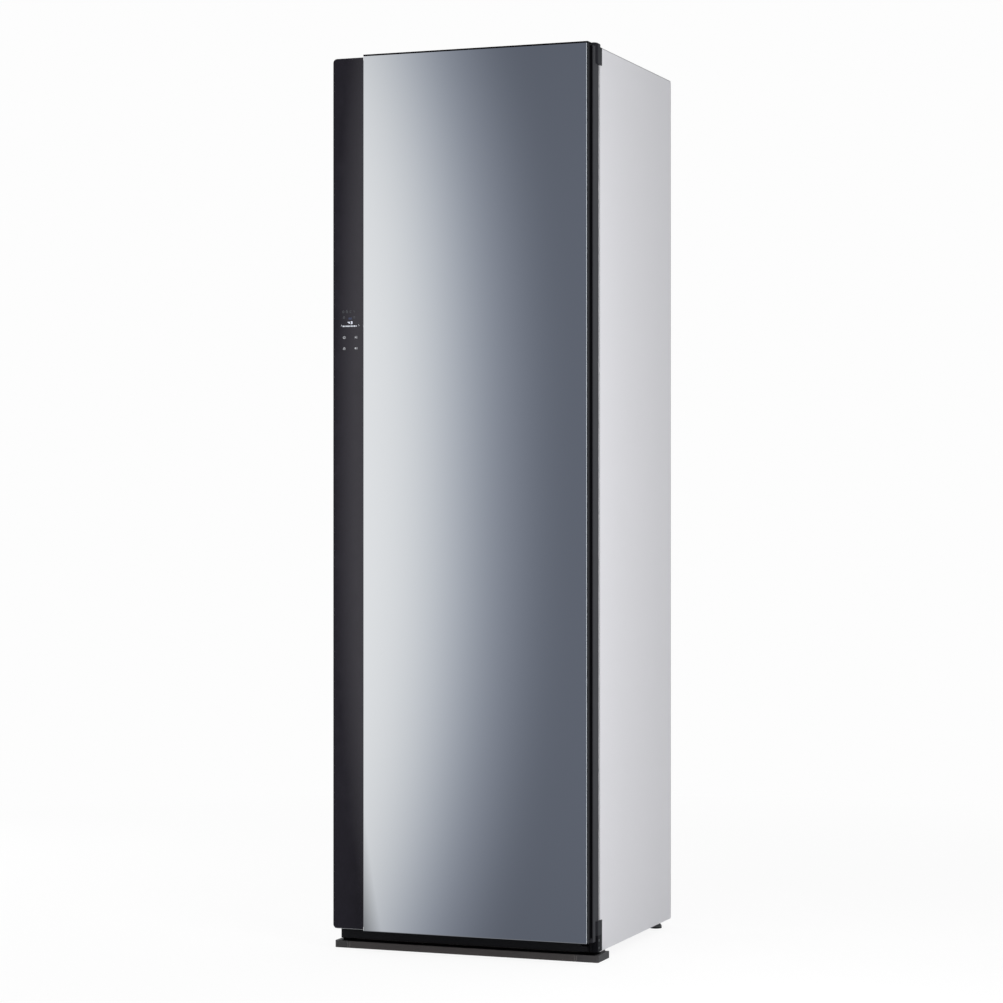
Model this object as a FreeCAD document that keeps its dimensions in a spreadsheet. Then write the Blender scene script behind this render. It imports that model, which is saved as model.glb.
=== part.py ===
import FreeCAD, Part
import math
import os
import re
import Sketcher

# Clothes care steam cabinet. Millimetres, +Z up, +X to the viewer's right, the door faces -Y.
# The origin is on the floor, in the middle of the whole machine.

V = FreeCAD.Vector
doc = FreeCAD.newDocument("SteamCabinet")

# ---------------------------------------------------------------- driving dimensions

SIZES = {
    # whole cabinet
    "cabinet_width": 600, "cabinet_height": 1939, "cabinet_depth": 519, "base_height": 20, "sheet": 1.5,
    "panel_flange": 20, "panel_corner": 2, "top_tray_depth": 14, "rear_sheet": 1, "frame_depth": 8,
    "frame_corner": 14, "pan_depth": 12, "pan_sheet": 2, "seat_gap": 0.3, "edge_round": 1,
    "cut_over": 1, "rear_ribs": 3,
    # room round the chamber
    "side_build_up": 50, "rear_build_up": 93, "bay_height": 460, "drive_space": 114, "liner_wall": 2.5,
    "liner_corner": 20, "ledge_width": 8, "ledge_height": 8, "ledge_length": 300, "shelf_lift": 76,
    "shelf_thickness": 10, "shelf_side_gap": 2, "shelf_slot": 12, "shelf_pitch": 30, "shelf_slots": 11,
    "shelf_border": 22, "shelf_slot_inset": 33, "shelf_depth": 360,
    # rear panel
    "louvre_height": 6, "louvre_pitch": 16, "louvre_width": 240, "louvres": 12, "louvre_base": 110,
    "rib_width": 24, "rib_rise": 1.2, "rib_pitch": 180, "gland_radius": 9, "gland_flange": 14,
    "gland_inset": 100, "gland_neck": 12, "gland_z": 90,
    # plinth and kick panel
    "plinth_overhang": 6.7, "plinth_lift": 1, "plinth_height": 16, "plinth_front": 29,
    "plinth_wrap": 74, "plinth_wall": 3, "plinth_shelf": 39, "plinth_joint": 0.8, "cap_left": 33,
    "cap_right": 51, "cap_corner": 5, "cap_ledge": 17, "cap_tab": 8.2, "kick_height": 25,
    "kick_depth": 10, "kick_wall": 2.5, "kick_right": 38,
    # levelling feet
    "foot_pad_radius": 14, "foot_neck_radius": 9, "foot_pad_height": 6, "foot_cone_height": 13,
    "stud_radius": 5, "stud_top": 44, "stud_fit": 0.05, "stud_clearance": 1, "nut_flats": 17,
    "nut_height": 8, "foot_inset_side": 28, "foot_inset_front": 42, "foot_inset_rear": 28,
    # door stack, front to back
    "mirror_thickness": 5, "carrier_depth": 27, "housing_depth": 42, "gasket_gap": 3,
    "strip_glass": 3.4, "door_lift": 26, "door_top_drop": 3, "housing_wall": 3, "housing_corner": 3,
    "mirror_left": 82, "mirror_lift": 2, "mirror_bevel": 1.2, "mirror_top_rise": 1.4, "trim_rise": 4,
    "grip_depth": 30, "carrier_inset_right": 4, "carrier_inset_ends": 10, "carrier_rail": 40,
    "carrier_windows": 4, "carrier_window_pitch": 480, "strip_corner": 8, "trim_gap": 0.2,
    "trim_round": 0.8, "trim_root": 8, "door_liner_thickness": 4, "dike_rise": 8, "dike_inset": 9,
    "foam_gap": 0.5, "gasket_width": 14, "gasket_outset": 22, "gasket_corner": 26, "gasket_air": 0.3,
    "display_z": 1300, "display_height": 125, "display_width": 50, "display_depth": 12,
    "display_inset": 15, "display_frame": 4, "display_corner": 3,
    # door hinges
    "hinge_inset": 8.5, "hinge_set_back": 13, "pin_radius": 4, "pin_fit": 0.05, "pin_reach": 15,
    "knuckle_radius": 10.5, "notch_width": 20, "notch_depth": 25, "notch_height": 36.5,
    "cover_height": 38, "cover_wall": 1.5, "cover_drop": 1, "cover_rise": 7, "cover_crown": 4,
    "cover_tongue": 11, "arm_thickness": 6,
    "arm_radius": 7, "bush_radius": 6.2, "flange_thickness": 2.5, "bracket_height": 37,
    "bracket_width": 38, "bracket_plate": 4, "low_cover_height": 31, "low_notch_height": 42.5,
    # trousers press on the inside of the door
    "press_width": 376, "press_low": 640, "press_high": 1600, "press_board": 5, "press_plate": 18,
    "press_wall": 2.5, "press_rib_pitch": 60, "press_ribs": 15, "press_rib": 2.5, "press_hinge_x": 200,
    "press_hinge_out": 14, "press_knuckle": 6, "press_pin": 2.5, "press_knuckle_length": 40,
    "press_knuckle_inset": 60, "press_air": 4, "clip_bar_width": 300, "clip_bar_height": 14,
    "clip_bar_depth": 16, "clip_rise": 46, "clip_width": 28, "jaw_x": 90, "press_edge": 10,
    "press_pin_reach": 10, "press_gap": 21, "press_relief": 3, "press_root": 14.4, "press_back": 18,
    "press_corner": 10, "press_inner_corner": 8, "jaw_round": 2, "jaws": 2,
    # tank bay and tanks
    "bay_low": 56, "bay_top_wall": 40, "fascia_set_back": 45, "fascia_wall": 2.5, "tank_gap": 30,
    "tank_opening": 200, "tank_opening_height": 264, "tank_floor": 66, "tank_side_gap": 2,
    "tank_height": 240, "tank_depth": 144, "tank_wall": 2.5, "tank_corner": 10, "tank_proud": 2,
    "neck_radius": 22, "neck_wall": 3, "neck_height": 12, "cap_wall": 2.7, "cap_top": 3.5,
    "cap_ribs": 18, "cap_rib": 1, "grip_lip": 14, "grip_width": 100, "grip_height": 12, "vent_width": 6,
    "vent_height": 40, "vent_pitch": 16, "vents": 24, "vent_drop": 64, "neck_inset": 48,
    "grip_drop": 36, "grip_rise": 18, "grip_round": 2,
    # floor fittings of the chamber
    "filter_width": 202, "filter_depth": 82, "filter_height": 34, "filter_rim": 5,
    "filter_rim_height": 3, "filter_set_back": 71, "filter_wall": 2.5, "filter_slot": 8,
    "filter_slot_pitch": 16, "filter_slots": 11, "filter_tab": 12, "aroma_inset": 65,
    "aroma_set_back": 61, "aroma_width": 54, "aroma_depth": 44, "aroma_height": 24, "aroma_slots": 4,
    "aroma_wall": 7.5, "aroma_slot": 3.5, "aroma_pitch": 10, "floor_gap": 1, "steam_inset": 85,
    "steam_rear": 125, "outlet_radius": 45, "outlet_height": 9, "outlet_holes": 12, "outlet_hole": 4,
    "outlet_crown": 31.5, "outlet_round": 4, "outlet_ring": 24, "spigot_radius": 18, "spigot_drop": 38,
    "grille_width": 180, "grille_depth": 110, "grille_height": 4, "grille_slots": 13, "grille_slot": 6,
    "grille_pitch": 13, "blower_x": 0, "blower_y": 25,
    # machine bay
    "boiler_radius": 50, "boiler_height": 205, "boiler_flange": 60, "boiler_foot": 6,
    "boiler_round": 20, "pipe_radius": 8, "compressor_gap": 15, "compressor_back": 100.5,
    "compressor_radius": 60, "compressor_height": 195, "compressor_foot": 14, "compressor_seam": 107,
    "compressor_step": 3, "compressor_low_round": 24, "compressor_top_round": 28,
    "compressor_plate": 72, "compressor_mount": 10, "coil_clearance": 16, "coil_depth": 40,
    "coil_height": 290, "coil_border": 16, "fins": 17, "fin": 0.8, "fin_proud": 5, "coil_rear": 62,
    "coil_gap": 24, "coil_tube": 4.5, "coil_end": 3, "coil_passes": 6, "scroll_radius": 90,
    "scroll_height": 78, "scroll_wall": 3, "scroll_top_gap": 48, "duct_reach": 103, "inlet_radius": 48,
    "impeller_radius": 74, "impeller_height": 48, "blades": 24, "blade": 1.5, "blade_length": 17,
    "blade_inset": 0.5, "impeller_lift": 9, "hub_round": 3, "impeller_disc": 3, "hub_radius": 14,
    "shaft_radius": 4, "shaft_fit": 0.05, "fan_motor_radius": 36, "fan_motor_height": 46,
    "motor_round": 6, "motor_flange": 4, "motor_flange_radius": 42, "control_width": 150,
    "control_height": 160, "control_depth": 70, "control_inset": 140, "control_base": 300,
    "groove_depth": 3, "groove_inset": 12, "groove_base": 14, "groove_width": 4, "groove_pitch": 18,
    "grooves": 8,
    # hanger drive over the chamber ceiling
    "plate_width": 400, "plate_front": -95, "plate_rear": 175, "plate_thickness": 3, "crank_radius": 22,
    "crank_disc": 45, "flange_slope": 1, "crank_flange": 48, "crank_height": 14, "belt_width": 8,
    "belt_thickness": 2, "belt_air": 0.3, "crank_base": 30.5, "shaft_gap": 6, "crank_pin": 5,
    "crank_hole_place": 20, "crank_hole": 8, "crank_holes": 4, "crank_pin_drop": 16, "slot_air": 0.8,
    "slot_end": 29, "yoke_width": 36, "yoke_length": 78, "yoke_thickness": 6, "yoke_base": 18.5,
    "yoke_arm": 12, "yoke_corner": 6, "rod_root": 9, "rod_radius": 5, "rod_reach": 178, "rod_fit": 0.05,
    "guide_x": 150, "guide_length": 20, "guide_width": 24, "spindle_radius": 6, "spindle_fit": 0.05,
    "spindle_head": 9, "spindle_head_height": 2.5, "bracket_arm": 5, "bracket_wide": 34,
    "bracket_back": 70, "bracket_foot": 18, "motor_y": 120, "motor_pulley_radius": 15,
    "hanger_motor_radius": 32, "hanger_motor_height": 24, "motor_boss": 12, "boss_height": 3,
    "post_x": 100, "post_radius": 7, "post_slot_run": 26, "post_slot_half": 10, "bar_radius": 10,
    "bar_reach": 165, "bar_drop": 60, "bar_notches": 9, "notch_bar_proud": 1, "notch_pitch": 32,
    "notch_bar_depth": 1.5, "notch_bar_width": 8, "lamp_width": 120, "lamp_depth": 24, "lamp_height": 7,
    "lamp_set_back": 51,
}

sheet = doc.addObject("Spreadsheet::Sheet", "Sizes")
for line, (alias, value) in enumerate(SIZES.items(), start=1):
    sheet.set(f"A{line}", alias.replace("_", " "))
    sheet.set(f"B{line}", str(value))
    sheet.setAlias(f"B{line}", alias)
doc.recompute()

WORD = re.compile(r"[a-z][a-z_]*")


def full(text):
    """Expression text with each size written as a reference to its cell."""
    return WORD.sub(lambda word: "Sizes." + word[0] if word[0] in SIZES else word[0], str(text))


def number(text):
    return float(sheet.evalExpression(full(text)))


def bind(item, name, text):
    item.setExpression(name, full(text))


# ---------------------------------------------------------------- places, worked out from the sizes

HALF = "(cabinet_width / 2)"
REAR = "((cabinet_depth + gasket_gap + housing_depth + carrier_depth + mirror_thickness) / 2)"
FRONT = f"({REAR} - cabinet_depth)"
TOP = "(base_height + cabinet_height)"
PAN_TOP = "(base_height + pan_sheet)"
FRAME_FRONT = f"({FRONT} + sheet)"
FRAME_BACK = f"({FRONT} + sheet + frame_depth)"
REAR_INNER = f"({REAR} - sheet - rear_sheet)"

CHAMBER_X = f"({HALF} - side_build_up)"
CHAMBER_REAR = f"({REAR} - rear_build_up)"
FLOOR = "(base_height + bay_height)"
CEILING = f"({TOP} - drive_space)"
SHELF = f"({FLOOR} + shelf_lift)"

DOOR_BACK = f"({FRONT} - gasket_gap)"
HOUSING_FRONT = f"({DOOR_BACK} - housing_depth)"
CARRIER_FRONT = f"({HOUSING_FRONT} - carrier_depth)"
MIRROR_FRONT = f"({CARRIER_FRONT} - mirror_thickness)"
DOOR_LOW = "(base_height + door_lift)"
DOOR_HIGH = f"({TOP} - door_top_drop)"
MIRROR_X = f"(-{HALF} + mirror_left)"
MIRROR_LOW = f"({DOOR_LOW} + mirror_lift)"
MIRROR_HIGH = f"({DOOR_HIGH} + mirror_top_rise)"
CARRIER_X = f"({MIRROR_X} + grip_depth)"

HINGE_X = f"({HALF} - hinge_inset)"
HINGE_Y = f"({FRONT} - hinge_set_back)"
NOTCH_X = f"({HALF} - notch_width)"
NOTCH_Y = f"({DOOR_BACK} - notch_depth)"
NOTCH_TOP = f"({DOOR_HIGH} - notch_height)"
NOTCH_LOW = f"({DOOR_LOW} + low_notch_height)"

FASCIA = f"({FRONT} + fascia_set_back)"
BAY_HIGH = f"({FLOOR} - bay_top_wall)"
FILTER_Y = f"({FRONT} + filter_set_back)"
AROMA_X = f"({CHAMBER_X} - aroma_inset)"
AROMA_Y = f"({FRONT} + aroma_set_back)"
STEAM_X = f"(steam_inset - {CHAMBER_X})"
STEAM_Y = f"({CHAMBER_REAR} - steam_rear)"
LAMP_Y = f"({FRONT} + lamp_set_back)"
GLAND_X = f"({HALF} - gland_inset)"
COMPRESSOR_X = f"({HALF} - foot_inset_side - nut_flats - compressor_gap - compressor_plate)"
COMPRESSOR_Y = f"({REAR_INNER} - compressor_back)"
COIL_HALF = f"({COMPRESSOR_X} - compressor_plate - coil_clearance)"
PLATE = f"({CEILING} + liner_wall + plate_thickness)"

# ---------------------------------------------------------------- drawing and building helpers

TURN = {"x": FreeCAD.Rotation(V(0, 1, 0), 90), "y": FreeCAD.Rotation(V(1, 0, 0), -90),
        "z": FreeCAD.Rotation()}
ACROSS = {"x": "yz", "y": "xz", "z": "xy"}
PLANE = {"z": "XY_Plane", "y": "XZ_Plane", "x": "YZ_Plane"}
nodes = []


def node(item, label):
    """Register a finished sub-part under its own name."""
    item.Label = label
    nodes.append(item)
    return item


def box(name, x, y, z):
    """A block between low and high places on each axis."""
    item = doc.addObject("Part::Box", name)
    for side, axis, (low, high) in (("Length", "x", x), ("Width", "y", y), ("Height", "z", z)):
        bind(item, side, f"({high}) - ({low})")
        bind(item, f"Placement.Base.{axis}", low)
    return item


def cylinder(name, radius, axis, centre, ends):
    """A cylinder along one axis; centre gives its other two coordinates, in x, y, z order."""
    item = doc.addObject("Part::Cylinder", name)
    item.Placement = FreeCAD.Placement(V(), TURN[axis])
    bind(item, "Radius", radius)
    bind(item, "Height", f"({ends[1]}) - ({ends[0]})")
    for letter, place in zip(ACROSS[axis], centre):
        bind(item, f"Placement.Base.{letter}", place)
    bind(item, f"Placement.Base.{axis}", ends[0])
    return item


def joined(name, *parts):
    item = doc.addObject("Part::MultiFuse", name)
    item.Shapes = list(parts)
    item.Refine = True
    return item


def less(name, base, *tools):
    item = doc.addObject("Part::Cut", name)
    item.Base = base
    item.Tool = tools[0] if len(tools) == 1 else joined(name + "_tools", *tools)
    item.Refine = True
    return item


def group(name, *parts):
    """Identical separate pieces that share one node."""
    item = doc.addObject("Part::Compound", name)
    item.Links = list(parts)
    return item


def new_body(name, centre=None):
    body = doc.addObject("PartDesign::Body", name)
    for letter, place in zip("xyz", centre or ()):
        bind(body, f"Placement.Base.{letter}", place)
    return body


def origin(body, role):
    return next(item for item in body.Origin.OriginFeatures if item.Role == role)


def new_sketch(body, axis, level):
    """A sketch square to an axis, at a level along it; the xz plane faces the other way."""
    sketch = body.newObject("Sketcher::SketchObject", body.Name + "_sketch")
    sketch.AttachmentSupport = [(origin(body, PLANE[axis]), "")]
    sketch.MapMode = "FlatFace"
    bind(sketch, "AttachmentOffset.Base.z", f"-({level})" if axis == "y" else level)
    return sketch


def pin_down(sketch, item, point, place):
    """Tie a point of the sketch to a place given by two expressions."""
    for kind, value in zip(("DistanceX", "DistanceY"), place):
        rule = sketch.addConstraint(Sketcher.Constraint(kind, -1, 1, item, point, number(value)))
        bind(sketch, f"Constraints[{rule}]", value)


def square_to_axes(direction):
    return min(abs(direction.x), abs(direction.y)) < 1e-6


def outline(*corners):
    """A closed outline through (u, v) corners, or (u, v, r) where the corner is rounded."""
    def draw(sketch):
        spots = [V(number(corner[0]), number(corner[1]), 0) for corner in corners]
        marks = []
        for i, corner in enumerate(corners):
            back = (spots[i - 1] - spots[i]).normalize()
            ahead = (spots[(i + 1) % len(spots)] - spots[i]).normalize()
            radius = number(corner[2]) if len(corner) == 3 else 0
            half = math.acos(max(-1, min(1, back.dot(ahead)))) / 2
            run = radius / math.tan(half) if radius else 0
            marks.append((spots[i] + back * run, spots[i] + ahead * run, back, ahead, half, radius))
        sides = [sketch.addGeometry(Part.LineSegment(mark[1], marks[(i + 1) % len(marks)][0]), False)
                 for i, mark in enumerate(marks)]
        for i, corner in enumerate(corners):
            before, after = sides[i - 1], sides[i]
            if len(corner) == 2:
                pin_down(sketch, after, 1, corner)
                sketch.addConstraint(Sketcher.Constraint("Coincident", before, 2, after, 1))
            else:
                round_corner(sketch, before, after, corner, spots[i], marks[i])
    return draw


def round_corner(sketch, before, after, corner, spot, mark):
    """An arc between two sides: pinned at both ends if the sides follow the axes, else tangent."""
    start, end, back, ahead, half, radius = mark
    centre = spot + (back + ahead).normalize() * (radius / math.sin(half))
    turns_left = back.cross(ahead).z < 0
    angles = [math.atan2(spot.y - centre.y, spot.x - centre.x)
              for spot in ((start, end) if turns_left else (end, start))]
    arc = sketch.addGeometry(Part.ArcOfCircle(Part.Circle(centre, V(0, 0, 1), radius), *angles), False)
    rule = sketch.addConstraint(Sketcher.Constraint("Radius", arc, radius))
    bind(sketch, f"Constraints[{rule}]", corner[2])
    first = 1 if turns_left else 2
    ends = ((before, 2, first, back), (after, 1, 3 - first, ahead))
    if square_to_axes(back) and square_to_axes(ahead):
        for side, side_end, arc_end, way in ends:
            pin_down(sketch, arc, arc_end, (f"{corner[0]} + {round(way.x)} * ({corner[2]})",
                                            f"{corner[1]} + {round(way.y)} * ({corner[2]})"))
            sketch.addConstraint(Sketcher.Constraint("Coincident", side, side_end, arc, arc_end))
        return
    dot = sketch.addGeometry(Part.Point(spot), True)
    pin_down(sketch, dot, 1, corner[:2])
    for side, side_end, arc_end, way in ends:
        sketch.addConstraint(Sketcher.Constraint("Tangent", side, side_end, arc, arc_end))
        sketch.addConstraint(Sketcher.Constraint("PointOnObject", dot, 1, side))


def rectangle(u, v, radius=None):
    extra = (radius,) if radius else ()
    return outline((u[0], v[0], *extra), (u[1], v[0], *extra), (u[1], v[1], *extra), (u[0], v[1], *extra))


def ring(u, v, radius):
    def draw(sketch):
        centre = V(number(u), number(v), 0)
        item = sketch.addGeometry(Part.Circle(centre, V(0, 0, 1), number(radius)), False)
        pin_down(sketch, item, 3, (u, v))
        rule = sketch.addConstraint(Sketcher.Constraint("Radius", item, number(radius)))
        bind(sketch, f"Constraints[{rule}]", radius)
    return draw


def pad(body, axis, ends, *drawings):
    """Add the drawn profile between two levels."""
    sketch = new_sketch(body, axis, ends[1] if axis == "y" else ends[0])
    for drawing in drawings:
        drawing(sketch)
    feature = body.newObject("PartDesign::Pad", body.Name + "_pad")
    feature.Profile = sketch
    bind(feature, "Length", f"({ends[1]}) - ({ends[0]})")
    return feature


def pocket(body, axis, ends, *drawings):
    """Take the drawn profile away between two levels."""
    sketch = new_sketch(body, axis, ends[0] if axis == "y" else ends[1])
    for drawing in drawings:
        drawing(sketch)
    feature = body.newObject("PartDesign::Pocket", body.Name + "_pocket")
    feature.Profile = sketch
    bind(feature, "Length", f"({ends[1]}) - ({ends[0]})")
    return feature


def turned(body, *corners):
    """A solid of revolution about the body's own Z axis, from (radius, height) corners."""
    sketch = new_sketch(body, "y", "0")
    outline(*corners)(sketch)
    feature = body.newObject("PartDesign::Revolution", body.Name + "_turned")
    feature.Profile = sketch
    feature.ReferenceAxis = (origin(body, "Z_Axis"), [""])
    feature.Angle = 360
    return feature


def repeat_along(body, feature, axis, pitch, count):
    pattern = body.newObject("PartDesign::LinearPattern", body.Name + "_row")
    pattern.Originals = [feature]
    pattern.Direction = (origin(body, axis.upper() + "_Axis"), [""])
    bind(pattern, "Length", f"({pitch}) * (({count}) - 1)")
    bind(pattern, "Occurrences", count)
    body.Tip = pattern
    return pattern


def repeat_round(body, feature, count):
    pattern = body.newObject("PartDesign::PolarPattern", body.Name + "_round")
    pattern.Originals = [feature]
    pattern.Axis = (origin(body, "Z_Axis"), [""])
    pattern.Angle = 360
    bind(pattern, "Occurrences", count)
    body.Tip = pattern
    return pattern


def ease(body, kind, size, wanted):
    """Fillet or chamfer the edges of the body that the test picks."""
    doc.recompute()
    base = body.Tip
    names = [f"Edge{i}" for i, edge in enumerate(base.Shape.Edges, start=1) if wanted(edge)]
    feature = body.newObject("PartDesign::" + kind, f"{body.Name}_{kind.lower()}")
    feature.Base = (base, names)
    bind(feature, "Radius" if kind == "Fillet" else "Size", size)
    return feature


def runs_along(edge, axis):
    """True for a straight edge parallel to the axis."""
    size = edge.BoundBox
    spans = {"x": size.XLength, "y": size.YLength, "z": size.ZLength}
    return spans.pop(axis) > 1 and max(spans.values()) < 0.01


def lies_at(edge, axis, place):
    """True for an edge that lies wholly in one plane across the axis."""
    size = edge.BoundBox
    low, high = {"x": (size.XMin, size.XMax), "y": (size.YMin, size.YMax),
                 "z": (size.ZMin, size.ZMax)}[axis]
    return abs(low - number(place)) < 0.01 and abs(high - number(place)) < 0.01


# ---------------------------------------------------------------- cabinet case

def side_panel(side, sign):
    """Folded steel side with flanges turned in at the front and rear."""
    body = new_body(f"side_panel_{side}")
    outer, inner, lip = (f"{sign} * ({place})" for place in
                         (HALF, f"{HALF} - sheet", f"{HALF} - panel_flange"))
    pad(body, "z", ("base_height", TOP), outline(
        (outer, FRONT, "panel_corner"), (outer, REAR, "panel_corner"), (lip, REAR),
        (lip, f"{REAR} - sheet"), (inner, f"{REAR} - sheet"), (inner, FRAME_FRONT),
        (lip, FRAME_FRONT), (lip, FRONT)))
    node(body, f"side_panel_{side}")


def top_panel():
    """Pressed tray, open below, between the two sides."""
    body = new_body("top_panel")
    across = (f"-({HALF} - sheet)", f"{HALF} - sheet")
    along = (FRAME_BACK, REAR_INNER)
    pad(body, "z", (f"{TOP} - top_tray_depth", TOP), rectangle(across, along))
    pocket(body, "z", (f"{TOP} - top_tray_depth", f"{TOP} - sheet"), rectangle(
        (f"{across[0]} + sheet", f"{across[1]} - sheet"), (f"{along[0]} + sheet", f"{along[1]} - sheet")))
    node(body, "top_panel")


def rear_panel():
    """Sheet back with pressed stiffening ribs, louvres for the machine bay and the cord gland's hole."""
    body = new_body("rear_panel")
    outside = f"{REAR} - sheet"
    pad(body, "y", (REAR_INNER, outside), rectangle(
        (f"-({HALF} - sheet)", f"{HALF} - sheet"), ("base_height + pan_depth", TOP)),
        ring(GLAND_X, "gland_z", "gland_radius"))
    louvre = pocket(body, "y", (REAR_INNER, outside), rectangle(
        ("-louvre_width / 2", "louvre_width / 2"), ("louvre_base", "louvre_base + louvre_height")))
    repeat_along(body, louvre, "z", "louvre_pitch", "louvres")
    rib = pad(body, "y", (outside, f"{outside} + rib_rise"), rectangle(
        ("-rib_pitch - rib_width / 2", "-rib_pitch + rib_width / 2"), (FLOOR, CEILING),
        "rib_width / 2 - seat_gap"))
    repeat_along(body, rib, "x", "rib_pitch", "rear_ribs")
    node(body, "rear_panel")


def base_pan():
    """Drip tray that everything in the machine bay stands on."""
    body = new_body("base_pan")
    across = (f"-({HALF} - sheet)", f"{HALF} - sheet")
    along = (FRAME_FRONT, REAR_INNER)
    holes = [ring(x, y, "stud_radius + stud_clearance") for x, y in FOOT_PLACES.values()]
    pad(body, "z", ("base_height", "base_height + pan_depth"), rectangle(across, along), *holes)
    pocket(body, "z", (PAN_TOP, "base_height + pan_depth"), rectangle(
        (f"{across[0]} + pan_sheet", f"{across[1]} - pan_sheet"),
        (f"{along[0]} + pan_sheet", f"{along[1]} - pan_sheet"), "pan_depth"))
    node(body, "base_pan")


def front_frame():
    """Face frame: chamber opening above, tank bay below, standing through the side panels' flanges."""
    body = new_body("front_frame")
    low = "base_height + pan_depth"
    pad(body, "y", (FRAME_FRONT, FRAME_BACK), rectangle(
        (f"-({HALF} - sheet)", f"{HALF} - sheet"), (low, TOP)))
    pad(body, "y", (FRONT, FRAME_FRONT), rectangle(
        (f"-({HALF} - panel_flange - seat_gap)", f"{HALF} - panel_flange - seat_gap"), (low, TOP)))
    pocket(body, "y", (FRONT, FRAME_BACK),
           rectangle((f"-{CHAMBER_X}", CHAMBER_X), (FLOOR, CEILING), "frame_corner"))
    pocket(body, "y", (FRONT, FRAME_BACK),
           rectangle((f"-{CHAMBER_X}", CHAMBER_X), ("bay_low", BAY_HIGH), "frame_corner"))
    node(body, "front_frame")


def kick_panel():
    """Black moulded strip under the door, open behind, stepped down to pass under the lower hinge."""
    body = new_body("kick_panel")
    across = (f"-{HALF}", f"{HALF} - kick_right - seat_gap")
    high = "base_height + kick_height"
    front = f"({FRONT} - kick_depth)"
    pad(body, "y", (front, FRONT), rectangle(across, ("base_height", high)))
    ease(body, "Fillet", "kick_wall",
         lambda edge: runs_along(edge, "z") and lies_at(edge, "y", front))
    pocket(body, "y", (f"{front} + kick_wall", FRONT), rectangle(
        (f"{across[0]} + kick_wall", f"{across[1]} - kick_wall"),
        ("base_height + kick_wall", f"{high} - kick_wall")))
    bracket_left = f"{HINGE_X} - knuckle_radius - seat_gap"
    under_bracket = "base_height + pan_sheet - seat_gap"
    beside_bracket = "base_height + pan_depth - seat_gap"
    root = f"{across[1]} - kick_wall * 2"
    pad(body, "y", (front, FRONT), rectangle((root, bracket_left), ("base_height", beside_bracket)))
    pad(body, "y", (front, FRONT), rectangle((root, HALF), ("base_height", under_bracket)))
    node(body, "kick_panel")


def plinth():
    """Floor plinth: an angle-section bar, and two corner caps that run back along the sides."""
    edge_x = f"({HALF} + plinth_overhang)"
    front = f"({FRONT} - plinth_front)"
    shelf = ("plinth_height - plinth_wall", "plinth_height")
    joint_left = f"(-{edge_x} + cap_left)"
    joint_right = f"({edge_x} - cap_right)"
    back = f"({front} + plinth_shelf)"

    bar = new_body("front_plinth")
    ends = (f"{joint_left} + plinth_joint", f"{joint_right} - plinth_joint")
    pad(bar, "x", ends, outline(
        (front, "plinth_lift"), (f"{front} + plinth_wall", "plinth_lift"),
        (f"{front} + plinth_wall", shelf[0]), (back, shelf[0]), (back, "base_height"),
        (f"{back} - plinth_wall", "base_height"), (f"{back} - plinth_wall", shelf[1]),
        (front, shelf[1], "plinth_wall / 2")))
    node(bar, "front_plinth")

    for side, sign, joint in (("left", -1, joint_left), ("right", 1, joint_right)):
        cap = new_body(f"plinth_cap_{side}")
        outer = f"{sign} * {edge_x}"
        inner = f"{sign} * ({edge_x} - plinth_wall)"
        wide = f"{sign} * ({edge_x} - cap_ledge)"
        tab = (f"{sign} * ({edge_x} - cap_tab)", f"{sign} * ({edge_x} - cap_tab * 2)")
        tail = f"{front} + plinth_wrap"
        pad(cap, "z", ("plinth_lift", "plinth_height"), outline(
            (joint, front), (outer, front, "cap_corner"), (outer, tail), (inner, tail),
            (inner, f"{front} + plinth_wall", "cap_corner / 2"), (joint, f"{front} + plinth_wall")))
        pad(cap, "z", shelf, outline(
            (joint, front), (outer, front, "cap_corner"), (outer, tail), (wide, tail),
            (wide, back), (joint, back)))
        pad(cap, "z", ("plinth_height", "base_height"), rectangle(
            sorted(tab, key=number), (f"{tail} - plinth_shelf", f"{tail} - plinth_wall")))
        node(cap, f"plinth_cap_{side}")


FOOT_PLACES = {
    "front_left": (f"(-{HALF} + foot_inset_side)", f"({FRONT} + foot_inset_front)"),
    "front_right": (f"({HALF} - foot_inset_side)", f"({FRONT} + foot_inset_front)"),
    "rear_left": (f"(-{HALF} + foot_inset_side)", f"({REAR} - foot_inset_rear)"),
    "rear_right": (f"({HALF} - foot_inset_side)", f"({REAR} - foot_inset_rear)"),
}


def feet():
    """Levelling feet: a flared pad on a stud, in a nut on the base pan."""
    nuts = []
    for place, (x, y) in FOOT_PLACES.items():
        foot = new_body(f"foot_{place}", (x, y, "0"))
        turned(foot, ("0", "0"), ("foot_pad_radius", "0", "edge_round"),
               ("foot_pad_radius", "foot_pad_height"), ("foot_neck_radius", "foot_cone_height"),
               ("stud_radius", "foot_cone_height"),
               ("stud_radius", "stud_top"), ("0", "stud_top"))
        node(foot, f"foot_{place}")
        blank = doc.addObject("Part::Prism", f"nut_blank_{place}")
        blank.Polygon = 6
        bind(blank, "Circumradius", "nut_flats / 2 / cos(30 deg)")
        bind(blank, "Height", "nut_height")
        for letter, spot in zip("xyz", (x, y, PAN_TOP)):
            bind(blank, f"Placement.Base.{letter}", spot)
        bore = cylinder(f"nut_bore_{place}", "stud_radius + stud_fit", "z", (x, y),
                        (f"{PAN_TOP} - cut_over", f"{PAN_TOP} + nut_height + cut_over"))
        nuts.append(less(f"nut_{place}", blank, bore))
    node(group("foot_nuts", *nuts), "foot_nuts")


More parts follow.
